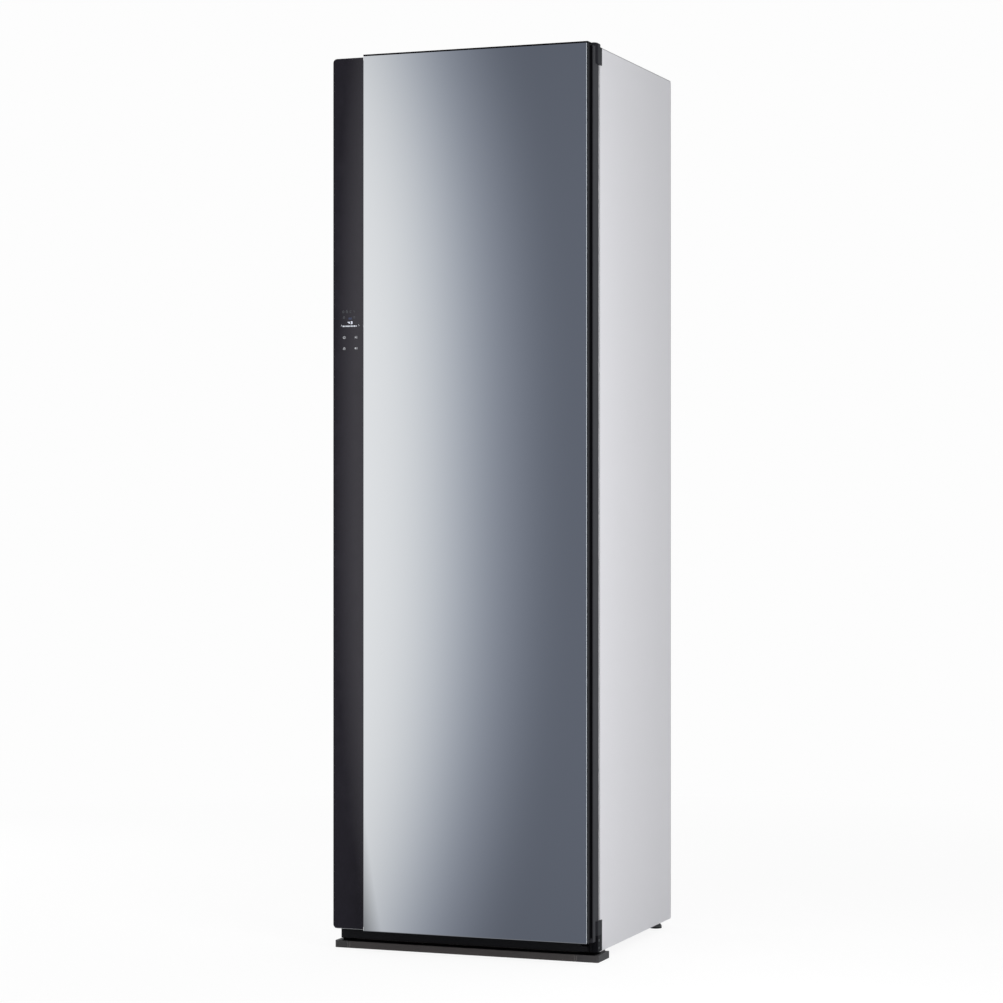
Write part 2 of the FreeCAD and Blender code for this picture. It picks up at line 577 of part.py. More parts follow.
def cord_gland():
    """Flanged bush in the rear panel where the mains lead would enter."""
    body = new_body("cord_gland", (GLAND_X, REAR_INNER, "gland_z"))
    body.Placement.Rotation = TURN["y"]
    turned(body, ("pipe_radius / 2", "-pan_depth"), ("gland_neck", "-pan_depth", "edge_round"),
           ("gland_neck", "0"), ("gland_radius - seat_gap", "0"),
           ("gland_radius - seat_gap", "rear_sheet"), ("gland_flange", "rear_sheet"),
           ("gland_flange", "rear_sheet + sheet", "edge_round"), ("pipe_radius / 2", "rear_sheet + sheet"))
    node(body, "cord_gland")


# ---------------------------------------------------------------- chamber

def chamber_liner():
    """Moulded liner, open in front, with shelf ledges and the openings of its floor and ceiling."""
    body = new_body("chamber_liner")
    outer_x = f"({CHAMBER_X} + liner_wall)"
    pad(body, "z", (f"{FLOOR} - liner_wall", f"{CEILING} + liner_wall"), outline(
        (f"-{outer_x}", FRAME_BACK), (outer_x, FRAME_BACK),
        (outer_x, f"{CHAMBER_REAR} + liner_wall", "liner_corner + liner_wall"),
        (f"-{outer_x}", f"{CHAMBER_REAR} + liner_wall", "liner_corner + liner_wall")))
    pocket(body, "z", (FLOOR, CEILING), outline(
        (f"-{CHAMBER_X}", f"{FRAME_BACK} - cut_over"), (CHAMBER_X, f"{FRAME_BACK} - cut_over"),
        (CHAMBER_X, CHAMBER_REAR, "liner_corner"), (f"-{CHAMBER_X}", CHAMBER_REAR, "liner_corner")))
    for ends in ((f"-{CHAMBER_X}", f"-{CHAMBER_X} + ledge_width"),
                 (f"{CHAMBER_X} - ledge_width", CHAMBER_X)):
        pad(body, "x", ends, rectangle(("-ledge_length / 2", "ledge_length / 2"),
                                       (f"{SHELF} - ledge_height", SHELF)))
    holes = [
        rectangle(("-(filter_width / 2 + floor_gap)", "filter_width / 2 + floor_gap"),
                  (f"{FILTER_Y} - filter_depth / 2 - floor_gap",
                   f"{FILTER_Y} + filter_depth / 2 + floor_gap")),
        rectangle((f"{AROMA_X} - aroma_width / 2 - floor_gap", f"{AROMA_X} + aroma_width / 2 + floor_gap"),
                  (f"{AROMA_Y} - aroma_depth / 2 - floor_gap", f"{AROMA_Y} + aroma_depth / 2 + floor_gap")),
        ring(STEAM_X, STEAM_Y, "spigot_radius + floor_gap"),
        ring("blower_x", "blower_y", "inlet_radius"),
    ]
    pocket(body, "z", (f"{FLOOR} - liner_wall", FLOOR), *holes)
    pocket(body, "z", (CEILING, f"{CEILING} + liner_wall"), *post_slots())
    node(body, "chamber_liner")


def post_slots():
    """The two slots that the hanger posts sweep through."""
    return [rectangle((f"{side} * post_x - post_slot_run", f"{side} * post_x + post_slot_run"),
                      ("-post_slot_half", "post_slot_half"), "post_slot_half - seat_gap")
            for side in (-1, 1)]


def insulation():
    up = (f"{FLOOR} - liner_wall", f"{TOP} - top_tray_depth")
    slabs = [box(f"slab_{i}", ends, (FRAME_BACK, REAR_INNER), up)
             for i, ends in enumerate(((f"-({HALF} - sheet)", f"-({CHAMBER_X} + liner_wall)"),
                                       (f"{CHAMBER_X} + liner_wall", f"{HALF} - sheet")))]
    node(group("side_insulation", *slabs), "side_insulation")


def shelf():
    """Moulded lift-out shelf with drip slots and a raised border."""
    body = new_body("shelf")
    half = f"({CHAMBER_X} - shelf_side_gap)"
    low = f"({SHELF} + seat_gap)"
    pad(body, "z", (low, f"{low} + shelf_thickness"),
        rectangle((f"-{half}", half), ("-shelf_depth / 2", "shelf_depth / 2"), "liner_corner"))
    pocket(body, "z", (f"{low} + shelf_thickness / 2", f"{low} + shelf_thickness"), rectangle(
        (f"-{half} + shelf_border / 2", f"{half} - shelf_border / 2"),
        ("-shelf_depth / 2 + shelf_border / 2", "shelf_depth / 2 - shelf_border / 2"), "liner_corner / 2"))
    run = "shelf_pitch * (shelf_slots - 1)"
    slot = pocket(body, "z", (low, f"{low} + shelf_thickness / 2"), rectangle(
        (f"-{half} + shelf_slot_inset", f"{half} - shelf_slot_inset"),
        (f"-({run}) / 2 - shelf_slot / 2", f"-({run}) / 2 + shelf_slot / 2"), "shelf_slot / 2 - seat_gap"))
    repeat_along(body, slot, "y", "shelf_pitch", "shelf_slots")
    node(body, "shelf")


def lint_filter():
    """Open cassette that hangs by its rim in the floor, with slotted walls and a pull tab."""
    body = new_body("lint_filter")
    side = ("-filter_width / 2", "filter_width / 2")
    along = (f"{FILTER_Y} - filter_depth / 2", f"{FILTER_Y} + filter_depth / 2")
    low, rim = f"({FLOOR} - filter_height)", f"({FLOOR} + seat_gap)"
    pad(body, "z", (low, rim), rectangle(side, along))
    pad(body, "z", (rim, f"{rim} + filter_rim_height"), rectangle(
        (f"{side[0]} - filter_rim", f"{side[1]} + filter_rim"),
        (f"{along[0]} - filter_rim", f"{along[1]} + filter_rim"), "filter_rim"))
    pocket(body, "z", (f"{low} + filter_wall", f"{rim} + filter_rim_height"), rectangle(
        (f"{side[0]} + filter_wall", f"{side[1]} - filter_wall"),
        (f"{along[0]} + filter_wall", f"{along[1]} - filter_wall")))
    run = "filter_slot_pitch * (filter_slots - 1)"
    slot = pocket(body, "y", along, rectangle(
        (f"-({run}) / 2 - filter_slot / 2", f"-({run}) / 2 + filter_slot / 2"),
        (f"{low} + filter_wall * 2", f"{low} + filter_height - filter_wall * 2")))
    repeat_along(body, slot, "x", "filter_slot_pitch", "filter_slots")
    pad(body, "y", (f"{FILTER_Y} - filter_wall", f"{FILTER_Y} + filter_wall"), rectangle(
        side, (f"{rim}", f"{rim} + filter_rim_height")))
    pad(body, "y", (f"{FILTER_Y} - filter_wall", f"{FILTER_Y} + filter_wall"), rectangle(
        ("-filter_tab * 2", "filter_tab * 2"), (rim, f"{rim} + filter_tab"), "filter_wall"))
    node(body, "lint_filter")


def aroma_case():
    """Small scent case that stands in its own well of the floor."""
    body = new_body("aroma_case", (AROMA_X, AROMA_Y, FLOOR))
    half = ("-aroma_width / 2", "aroma_width / 2")
    deep = ("-aroma_depth / 2", "aroma_depth / 2")
    pad(body, "z", ("-aroma_height", "seat_gap"), rectangle(half, deep, "filter_rim"))
    pad(body, "z", ("seat_gap", "seat_gap + filter_rim_height * 2"), rectangle(
        (f"{half[0]} - filter_rim", f"{half[1]} + filter_rim"),
        (f"{deep[0]} - filter_rim", f"{deep[1]} + filter_rim"), "filter_rim"))
    run = "aroma_pitch * (aroma_slots - 1)"
    slot = pocket(body, "z", ("-aroma_height / 2", "seat_gap + filter_rim_height * 2"), rectangle(
        (f"{half[0]} + aroma_wall", f"{half[1]} - aroma_wall"),
        (f"-({run}) / 2 - aroma_slot / 2", f"-({run}) / 2 + aroma_slot / 2")))
    repeat_along(body, slot, "y", "aroma_pitch", "aroma_slots")
    node(body, "aroma_case")


def floor_fittings():
    """Steam outlet rose with its spigot, and the slotted grille over the blower's inlet."""
    rose = new_body("steam_outlet", (STEAM_X, STEAM_Y, FLOOR))
    turned(rose, ("pipe_radius", "-spigot_drop"), ("spigot_radius", "-spigot_drop"), ("spigot_radius", "0"),
           ("outlet_radius", "0"), ("outlet_radius", "outlet_height / 2"),
           ("outlet_crown", "outlet_height", "outlet_round"), ("0", "outlet_height"),
           ("0", "outlet_height - filter_wall"), ("pipe_radius", "outlet_height - filter_wall"))
    hole = pocket(rose, "z", ("-outlet_height", "outlet_height"),
                  ring("outlet_ring", "0", "outlet_hole / 2"))
    repeat_round(rose, hole, "outlet_holes")
    node(rose, "steam_outlet")

    grille = new_body("air_grille", ("blower_x", "blower_y", FLOOR))
    pad(grille, "z", ("0", "grille_height"), rectangle(
        ("-grille_width / 2", "grille_width / 2"), ("-grille_depth / 2", "grille_depth / 2"), "filter_rim"))
    run = "grille_pitch * (grille_slots - 1)"
    slot = pocket(grille, "z", ("0", "grille_height"), rectangle(
        (f"-({run}) / 2 - grille_slot / 2", f"-({run}) / 2 + grille_slot / 2"),
        ("-grille_depth / 2 + filter_rim * 2", "grille_depth / 2 - filter_rim * 2"),
        "grille_slot / 2 - seat_gap"))
    repeat_along(grille, slot, "x", "grille_pitch", "grille_slots")
    node(grille, "air_grille")


def chamber_lamp():
    body = new_body("chamber_lamp", ("0", LAMP_Y, CEILING))
    pad(body, "z", ("-lamp_height", "0"), rectangle(
        ("-lamp_width / 2", "lamp_width / 2"), ("-lamp_depth / 2", "lamp_depth / 2"),
        "lamp_depth / 2 - seat_gap"))
    ease(body, "Fillet", "lamp_height / 2", lambda edge: lies_at(edge, "z", "-lamp_height"))
    node(body, "chamber_lamp")


# ---------------------------------------------------------------- tank bay

def tank_span(sign):
    """Left and right sides of one tank opening."""
    ends = (f"{sign} * tank_gap / 2", f"{sign} * (tank_gap / 2 + tank_opening)")
    return ends if sign > 0 else ends[::-1]


def tank_fascia():
    """Recessed front of the machine bay: reveal, two tank openings, vent slots and the tank shelf."""
    body = new_body("tank_fascia")
    back = f"({FASCIA} + fascia_wall)"
    pad(body, "y", (FRAME_BACK, back), rectangle(
        (f"-({CHAMBER_X} + fascia_wall)", f"{CHAMBER_X} + fascia_wall"),
        ("bay_low - fascia_wall", f"{BAY_HIGH} + fascia_wall"), "frame_corner + fascia_wall"))
    pocket(body, "y", (FRAME_BACK, FASCIA), rectangle(
        (f"-{CHAMBER_X}", CHAMBER_X), ("bay_low", BAY_HIGH), "frame_corner"))
    up = ("tank_floor", "tank_floor + tank_opening_height")
    pocket(body, "y", (FASCIA, back), *[rectangle(tank_span(sign), up, "tank_side_gap") for sign in (-1, 1)])
    run = "vent_pitch * (vents - 1)"
    vent_low = f"({BAY_HIGH} - vent_drop)"
    vent = pocket(body, "y", (FASCIA, back), rectangle(
        (f"-({run}) / 2 - vent_width / 2", f"-({run}) / 2 + vent_width / 2"),
        (vent_low, f"{vent_low} + vent_height")))
    repeat_along(body, vent, "x", "vent_pitch", "vents")
    shelf_x = "tank_gap / 2 + tank_opening"
    rear = f"({FASCIA} + tank_depth + fascia_wall)"
    leg = "fascia_wall * 2"
    pad(body, "y", (back, rear), outline(
        (f"-({shelf_x})", "tank_floor"), (f"-({shelf_x})", PAN_TOP), (f"-({shelf_x}) + {leg}", PAN_TOP),
        (f"-({shelf_x}) + {leg}", "tank_floor - fascia_wall"),
        (f"{shelf_x} - {leg}", "tank_floor - fascia_wall"), (f"{shelf_x} - {leg}", PAN_TOP),
        (shelf_x, PAN_TOP), (shelf_x, "tank_floor")))
    node(body, "tank_fascia")


def tank(name, sign):
    """Blow-moulded tank with a finger lip in front, a filler neck and a ribbed twist cap."""
    low = "(tank_floor + seat_gap)"
    high = f"({low} + tank_height)"
    left, right = tank_span(sign)
    across = (f"{left} + tank_side_gap", f"{right} - tank_side_gap")
    front = f"({FASCIA} - tank_proud)"
    along = (front, f"{front} + tank_depth")
    centre = (f"{sign} * (tank_gap + tank_opening) / 2", f"({front} + neck_inset)")

    body = new_body(f"{name}_tank")
    pad(body, "z", (low, high), rectangle(across, along, "tank_corner"))
    pad(body, "z", (high, f"{high} + neck_height"), ring(*centre, "neck_radius"))
    pocket(body, "z", (f"{low} + tank_wall", f"{high} - tank_wall"), rectangle(
        (f"{across[0]} + tank_wall", f"{across[1]} - tank_wall"),
        (f"{along[0]} + tank_wall", f"{along[1]} - tank_wall"), "tank_corner - tank_wall"))
    pocket(body, "z", (f"{high} - tank_wall * 2", f"{high} + neck_height"),
           ring(*centre, "neck_radius - neck_wall"))
    lip_low = f"({high} - grip_drop)"
    pad(body, "x", (f"{centre[0]} - grip_width / 2", f"{centre[0]} + grip_width / 2"), outline(
        (front, lip_low), (f"{front} - grip_lip", f"{lip_low} + grip_height", "grip_round"),
        (f"{front} - grip_lip", f"{lip_low} + grip_rise", "grip_round"), (front, f"{lip_low} + grip_rise")))
    node(body, f"{name}_tank")

    cap = new_body(f"{name}_cap", (*centre, f"{high} + seat_gap"))
    inside = "(neck_radius + seat_gap)"
    turned(cap, (inside, "0"), (f"{inside} + cap_wall", "0"),
           (f"{inside} + cap_wall", "neck_height + cap_top", "grip_round"), ("0", "neck_height + cap_top"),
           ("0", "neck_height"), (inside, "neck_height"))
    rib = pad(cap, "z", ("0", "neck_height"), rectangle(
        (f"{inside} + cap_wall / 2", f"{inside} + cap_wall + cap_rib"), ("-cap_rib", "cap_rib")))
    repeat_round(cap, rib, "cap_ribs")
    node(cap, f"{name}_cap")


# ---------------------------------------------------------------- machine bay

def steam_generator():
    """Upright boiler on a flange, with its steam pipe up to the outlet's spigot."""
    body = new_body("steam_generator", (STEAM_X, STEAM_Y, PAN_TOP))
    pipe_top = f"({FLOOR} - spigot_drop - {PAN_TOP})"
    turned(body, ("0", "0"), ("boiler_flange", "0"), ("boiler_flange", "boiler_foot"),
           ("boiler_radius", "boiler_foot"), ("boiler_radius", "boiler_height", "boiler_round"),
           ("pipe_radius", "boiler_height + boiler_foot"), ("pipe_radius", pipe_top), ("0", pipe_top))
    node(body, "steam_generator")


def compressor():
    """Welded capsule of the heat pump on its mounting plate."""
    shell = "(compressor_radius - compressor_step)"
    top = "compressor_foot + compressor_height"
    body = new_body("compressor", (COMPRESSOR_X, COMPRESSOR_Y, PAN_TOP))
    turned(body, ("0", "compressor_foot"),
           ("compressor_radius", "compressor_foot", "compressor_low_round"),
           ("compressor_radius", "compressor_foot + compressor_seam"),
           (shell, "compressor_foot + compressor_seam + compressor_step"),
           (shell, top, "compressor_top_round"), ("0", top))
    wide = "compressor_plate"
    deep = "compressor_radius"
    pad(body, "z", ("compressor_foot / 2", "compressor_foot + pan_sheet"),
        rectangle((f"-{wide}", wide), (f"-{deep}", deep), "compressor_foot"))
    foot_x = f"({wide} - compressor_foot)"
    foot_y = f"({deep} - compressor_foot)"
    pad(body, "z", ("0", "compressor_foot / 2"), *[
        ring(f"{sx} * {foot_x}", f"{sy} * {foot_y}", "compressor_mount")
        for sx in (-1, 1) for sy in (-1, 1)])
    node(body, "compressor")


def heat_exchanger(name, rear):
    """Coil block with a row of fins and the tube ends of its passes."""
    body = new_body(name, ("0", rear, PAN_TOP))
    pad(body, "x", (f"-{COIL_HALF} + coil_end", f"{COIL_HALF} - coil_end"), rectangle(
        ("-coil_depth + fin_proud", "-fin_proud"), ("0", "coil_height - fin_proud")))
    run = f"(2 * {COIL_HALF} - coil_border)"
    fin = pad(body, "x", (f"-{run} / 2 - fin / 2", f"-{run} / 2 + fin / 2"), rectangle(
        ("-coil_depth", "0"), ("fin_proud * 2", "coil_height")))
    repeat_along(body, fin, "x", f"{run} / (fins - 1)", "fins")
    pass_pitch = "(coil_height / coil_passes)"
    for ends in ((f"-{COIL_HALF}", f"-{COIL_HALF} + coil_end"), (f"{COIL_HALF} - coil_end", COIL_HALF)):
        ends_row = pad(body, "x", ends, ring("-coil_depth / 2", f"{pass_pitch} / 2", "coil_tube"))
        repeat_along(body, ends_row, "z", pass_pitch, "coil_passes")
    node(body, name)


def blower():
    """Radial fan under the chamber floor: scroll with inlet collar, bladed impeller, motor below."""
    base = f"({FLOOR} - liner_wall - scroll_top_gap - scroll_height)"
    scroll = new_body("blower_housing", ("blower_x", "blower_y", base))
    pad(scroll, "z", ("0", "scroll_height"), ring("0", "0", "scroll_radius"))
    pad(scroll, "z", ("0", "scroll_height"), rectangle(
        ("-duct_reach", "0"), ("0", "scroll_radius")))
    pocket(scroll, "z", ("scroll_wall", "scroll_height - scroll_wall"),
           ring("0", "0", "scroll_radius - scroll_wall"))
    pocket(scroll, "z", ("scroll_wall", "scroll_height - scroll_wall"), rectangle(
        ("-duct_reach", "0"), ("scroll_wall", "scroll_radius - scroll_wall")))
    pad(scroll, "z", ("scroll_height", "scroll_height + scroll_top_gap"),
        ring("0", "0", "inlet_radius + scroll_wall"))
    pocket(scroll, "z", ("scroll_height - scroll_wall", "scroll_height + scroll_top_gap"),
           ring("0", "0", "inlet_radius"))
    pocket(scroll, "z", ("0", "scroll_wall"), ring("0", "0", "shaft_radius + floor_gap"))
    node(scroll, "blower_housing")

    impeller = new_body("blower_impeller", ("blower_x", "blower_y", f"{base} + impeller_lift"))
    shaft_low = "-impeller_lift - fan_motor_height / 2"
    turned(impeller, ("0", shaft_low), ("shaft_radius", shaft_low), ("shaft_radius", "0"),
           ("impeller_radius", "0"), ("impeller_radius", "impeller_disc"),
           ("hub_radius", "impeller_disc"), ("hub_radius", "impeller_height / 2", "hub_round"),
           ("0", "impeller_height / 2"))
    blade = pad(impeller, "z", ("impeller_disc", "impeller_height"), rectangle(
        ("impeller_radius - blade_length", "impeller_radius - blade_inset"), ("-blade / 2", "blade / 2")))
    repeat_round(impeller, blade, "blades")
    node(impeller, "blower_impeller")

    motor = new_body("blower_motor", ("blower_x", "blower_y", base))
    bore = "(shaft_radius + shaft_fit)"
    turned(motor, (bore, "-fan_motor_height"), ("fan_motor_radius", "-fan_motor_height", "motor_round"),
           ("fan_motor_radius", "-motor_flange"), ("motor_flange_radius", "-motor_flange"),
           ("motor_flange_radius", "0"),
           (bore, "0"))
    node(motor, "blower_motor")


def control_box():
    """Electronics box on the rear panel."""
    body = new_body("control_box", (f"control_inset - {HALF}", REAR_INNER, "control_base"))
    half = "control_width / 2"
    pad(body, "y", ("-control_depth", "0"), rectangle(
        (f"-{half}", half), ("0", "control_height"), "motor_round"))
    groove = pocket(body, "y", ("-control_depth", "-control_depth + groove_depth"), rectangle(
        (f"-{half} + groove_inset", f"{half} - groove_inset"),
        ("groove_base", "groove_base + groove_width")))
    repeat_along(body, groove, "z", "groove_pitch", "grooves")
    node(body, "control_box")


# ---------------------------------------------------------------- hanger drive

CRANK_LOW = f"({PLATE} + crank_base)"
ROD_Z = f"({PLATE} + yoke_base)"


def drive_plate():
    """Carrier plate on the chamber ceiling with the two bearing blocks of the sliding hanger."""
    body = new_body("drive_plate")
    sheet_plan = rectangle(("-plate_width / 2", "plate_width / 2"), ("plate_front", "plate_rear"),
                           "liner_corner")
    pad(body, "z", (f"{CEILING} + liner_wall", PLATE), sheet_plan, *post_slots())
    for side in (-1, 1):
        middle = f"{side} * guide_x"
        pad(body, "x", (f"{middle} - guide_length / 2", f"{middle} + guide_length / 2"), outline(
            ("-guide_width / 2", PLATE), ("guide_width / 2", PLATE),
            ("guide_width / 2", f"{ROD_Z} + guide_width / 2", "guide_width / 2 - seat_gap"),
            ("-guide_width / 2", f"{ROD_Z} + guide_width / 2", "guide_width / 2 - seat_gap")),
            ring("0", ROD_Z, "rod_radius + rod_fit"))
    node(body, "drive_plate")


def hanger():
    """Slotted yoke with its slide rods, and the notched bar that hangs from it on two posts."""
    yoke = new_body("hanger_yoke")
    slot_half = "(crank_pin + slot_air)"
    thick = (f"{ROD_Z} - yoke_thickness / 2", f"{ROD_Z} + yoke_thickness / 2")
    pad(yoke, "z", thick, rectangle(
        ("-post_x - yoke_width / 2", "post_x + yoke_width / 2"), ("-yoke_arm", "yoke_arm"), "yoke_corner"))
    pad(yoke, "z", thick, rectangle(
        ("-yoke_width / 2", "yoke_width / 2"), ("-yoke_length / 2", "yoke_length / 2"), "yoke_corner"))
    pocket(yoke, "z", thick, rectangle(
        (f"-{slot_half}", slot_half), ("-slot_end", "slot_end"), f"{slot_half} - seat_gap"))
    for side in (-1, 1):
        ends = sorted((f"{side} * (post_x + rod_root)", f"{side} * rod_reach"), key=number)
        pad(yoke, "x", ends, ring("0", ROD_Z, "rod_radius"))
    node(yoke, "hanger_yoke")

    bar = new_body("hanger_bar")
    bar_z = f"({CEILING} - bar_drop)"
    run = "(notch_pitch * (bar_notches - 1))"
    pad(bar, "x", ("-bar_reach", "bar_reach"), ring("0", bar_z, "bar_radius"))
    notch = pocket(bar, "x", (f"-{run} / 2 - notch_bar_width / 2", f"-{run} / 2 + notch_bar_width / 2"),
                   ring("0", bar_z, "bar_radius + notch_bar_proud"),
                   ring("0", bar_z, "bar_radius - notch_bar_depth"))
    repeat_along(bar, notch, "x", "notch_pitch", "bar_notches")
    for side in (-1, 1):
        pad(bar, "z", (bar_z, f"{ROD_Z} - yoke_thickness / 2"), ring(f"{side} * post_x", "0", "post_radius"))
    node(bar, "hanger_bar")


def crank():
    """Crank pulley with its pin, the cantilever bracket whose spindle carries it, motor and belt."""
    pulley = new_body("crank_pulley", ("0", "0", CRANK_LOW))
    rim = "(crank_height / 2 - belt_width / 2 - seat_gap)"
    turned(pulley, ("spindle_radius + spindle_fit", "0"), ("crank_flange", "0"),
           ("crank_flange", f"{rim} - flange_slope"),
           ("crank_disc", rim), ("crank_disc", f"crank_height - {rim}"),
           ("crank_flange", f"crank_height - {rim} + flange_slope"), ("crank_flange", "crank_height"),
           ("spindle_radius + spindle_fit", "crank_height"))
    pad(pulley, "z", ("-crank_pin_drop", "0"), ring("0", "crank_radius", "crank_pin"))
    hole = pocket(pulley, "z", ("0", "crank_height"),
                  ring("crank_hole_place", "crank_hole_place", "crank_hole"))
    repeat_round(pulley, hole, "crank_holes")
    node(pulley, "crank_pulley")

    bracket = new_body("crank_bracket")
    arm_low = f"({CRANK_LOW} + crank_height + seat_gap)"
    arm_high = f"({arm_low} + bracket_arm)"
    head = f"({CRANK_LOW} - seat_gap - spindle_head_height)"
    half = "bracket_wide / 2"
    pad(bracket, "x", (f"-{half}", half), outline(
        ("-bracket_back - bracket_foot", PLATE), ("-bracket_back + bracket_arm", PLATE),
        ("-bracket_back + bracket_arm", arm_low, "bracket_arm / 2"), ("bracket_foot", arm_low),
        ("bracket_foot", arm_high), ("-bracket_back", arm_high, "bracket_arm"),
        ("-bracket_back", f"{PLATE} + bracket_arm"),
        ("-bracket_back - bracket_foot", f"{PLATE} + bracket_arm")))
    pad(bracket, "z", (head, arm_low), ring("0", "0", "spindle_radius"))
    pad(bracket, "z", (head, f"{CRANK_LOW} - seat_gap"), ring("0", "0", "spindle_head"))
    node(bracket, "crank_bracket")

    motor = new_body("hanger_motor", ("0", "motor_y", PLATE))
    bore = "(shaft_radius + shaft_fit)"
    turned(motor, (bore, "0"), ("hanger_motor_radius", "0"),
           ("hanger_motor_radius", "hanger_motor_height", "hub_round"),
           ("motor_boss", "hanger_motor_height"),
           ("motor_boss", "hanger_motor_height + boss_height"), (bore, "hanger_motor_height + boss_height"))
    node(motor, "hanger_motor")

    small = new_body("motor_pulley", ("0", "motor_y", CRANK_LOW))
    shaft_low = "-crank_base + shaft_gap"
    flange = "(motor_pulley_radius + crank_flange - crank_disc)"
    turned(small, ("0", shaft_low), ("shaft_radius", shaft_low), ("shaft_radius", "0"),
           (flange, "0"), (flange, f"{rim} - flange_slope"),
           ("motor_pulley_radius", rim), ("motor_pulley_radius", f"crank_height - {rim}"),
           (flange, f"crank_height - {rim} + flange_slope"), (flange, "crank_height"), ("0", "crank_height"))
    node(small, "motor_pulley")


def drive_belt():
    """Toothed belt: the common tangents of the two pulleys, closed by an arc round each."""
    big = number("crank_disc + belt_air")
    little = number("motor_pulley_radius + belt_air")
    reach = number("motor_y")
    lean = math.asin((big - little) / reach)

    def loop(extra):
        points = []
        for side in (1, -1):
            for radius, centre in ((big + extra, 0), (little + extra, reach)):
                points.append(V(side * radius * math.cos(lean), centre + radius * math.sin(lean), 0))
        right_big, right_small, left_big, left_small = points
        return Part.Wire([
            Part.LineSegment(right_big, right_small).toShape(),
            Part.Arc(right_small, V(0, reach + little + extra, 0), left_small).toShape(),
            Part.LineSegment(left_small, left_big).toShape(),
            Part.Arc(left_big, V(0, -big - extra, 0), right_big).toShape()])

    outer = Part.Face(loop(number("belt_thickness"))).extrude(V(0, 0, number("belt_width")))
    inner = Part.Face(loop(0)).extrude(V(0, 0, number("belt_width")))
    belt = doc.addObject("Part::Feature", "drive_belt")
    belt.Shape = outer.cut(inner)
    belt.Placement = FreeCAD.Placement(
        V(0, 0, number(f"{CRANK_LOW} + crank_height / 2 - belt_width / 2")), FreeCAD.Rotation())
    node(belt, "drive_belt")


# ---------------------------------------------------------------- door hinges

def cover_body():
    """Plan of a hinge cover: round over the pin in front and flat against the cabinet behind."""
    left = f"({HINGE_X} - knuckle_radius)"
    right = f"({HINGE_X} + knuckle_radius)"
    front = f"({HINGE_Y} - knuckle_radius)"
    bend = "(knuckle_radius - seat_gap)"
    return outline((left, FRONT), (left, front, bend), (right, front, bend), (right, FRONT))


def cover_tongue():
    """Plan of the thin tongue by which a hinge cover laps the side panel."""
    right = f"({HINGE_X} + knuckle_radius)"
    return rectangle((f"{HALF} + seat_gap", right), (f"{FRONT} - cover_wall", f"{FRONT} + cover_tongue"))


def cover_hollow():
    """Room for the hinge arm inside a cover."""
    left = f"({HINGE_X} - knuckle_radius + cover_wall)"
    right = f"({HINGE_X} + knuckle_radius - cover_wall)"
    front = f"({HINGE_Y} - knuckle_radius + cover_wall)"
    bend = "(knuckle_radius - cover_wall - seat_gap)"
    return outline((left, FRONT), (left, front, bend), (right, front, bend), (right, FRONT))


def hinge_covers():
    top = new_body("hinge_cover_top")
    high = f"({TOP} - cover_drop)"
    crown = f"({TOP} + cover_rise)"
    low = f"({high} - cover_height)"
    pad(top, "z", (low, crown), cover_body())
    ease(top, "Fillet", "cover_crown",
         lambda edge: lies_at(edge, "z", crown) and not lies_at(edge, "y", FRONT))
    pad(top, "z", (low, high), cover_tongue())
    pocket(top, "z", (f"{low} + cover_wall", f"{high} - cover_wall"), cover_hollow())
    pocket(top, "z", (low, f"{low} + cover_wall"), ring(HINGE_X, HINGE_Y, "pin_radius + seat_gap"))
    node(top, "hinge_cover_top")

    bottom = new_body("hinge_cover_bottom")
    low = "(base_height + bracket_height)"
    high = f"({low} + low_cover_height)"
    pad(bottom, "z", (low, high), cover_body())
    pad(bottom, "z", (low, high), cover_tongue())
    pocket(bottom, "z", (low, f"{high} - cover_wall"), cover_hollow())
    pocket(bottom, "z", (f"{high} - cover_wall", high), ring(HINGE_X, HINGE_Y, "pin_radius + seat_gap"))
    node(bottom, "hinge_cover_bottom")


def hinge_brackets():
    """Steel brackets screwed to the face frame; each carries a pin that enters the door."""
    def arm(body, ends):
        half = "arm_radius"
        pad(body, "z", ends, outline(
            (f"{HINGE_X} - {half}", FRONT),
            (f"{HINGE_X} - {half}", f"{HINGE_Y} - {half}", f"{half} - seat_gap"),
            (f"{HINGE_X} + {half}", f"{HINGE_Y} - {half}", f"{half} - seat_gap"),
            (f"{HINGE_X} + {half}", FRONT)))

    top = new_body("hinge_bracket_top")
    high = f"({TOP} - cover_drop - cover_wall - seat_gap)"
    low = f"({TOP} - cover_drop - cover_height + cover_wall + seat_gap)"
    arm(top, (f"{high} - arm_thickness", high))
    pad(top, "y", (f"{FRONT} - flange_thickness", FRONT), rectangle(
        (f"{HINGE_X} - arm_radius", f"{HINGE_X} + arm_radius"), (low, high)))
    pad(top, "z", (f"{NOTCH_TOP} - pin_reach + floor_gap", high), ring(HINGE_X, HINGE_Y, "pin_radius"))
    node(top, "hinge_bracket_top")

    bottom = new_body("hinge_bracket_bottom")
    low = "(base_height + pan_sheet)"
    high = "(base_height + bracket_height)"
    pad(bottom, "z", (low, high), cover_body())
    pad(bottom, "z", (low, high), cover_tongue())
    pocket(bottom, "z", (low, f"{high} - bracket_plate"), cover_hollow())
    pad(bottom, "y", (f"{FRONT} - flange_thickness", FRONT), rectangle(
        (f"{HALF} - bracket_width", f"{HALF} + cover_wall / 2"), ("base_height + pan_depth", high)))
    pad(bottom, "z", (high, f"{NOTCH_LOW} + pin_reach - floor_gap"), ring(HINGE_X, HINGE_Y, "pin_radius"))
    node(bottom, "hinge_bracket_bottom")


# ---------------------------------------------------------------- door

BUSH_ENDS = ((f"{NOTCH_TOP} - pin_reach", NOTCH_TOP), (NOTCH_LOW, f"{NOTCH_LOW} + pin_reach"))


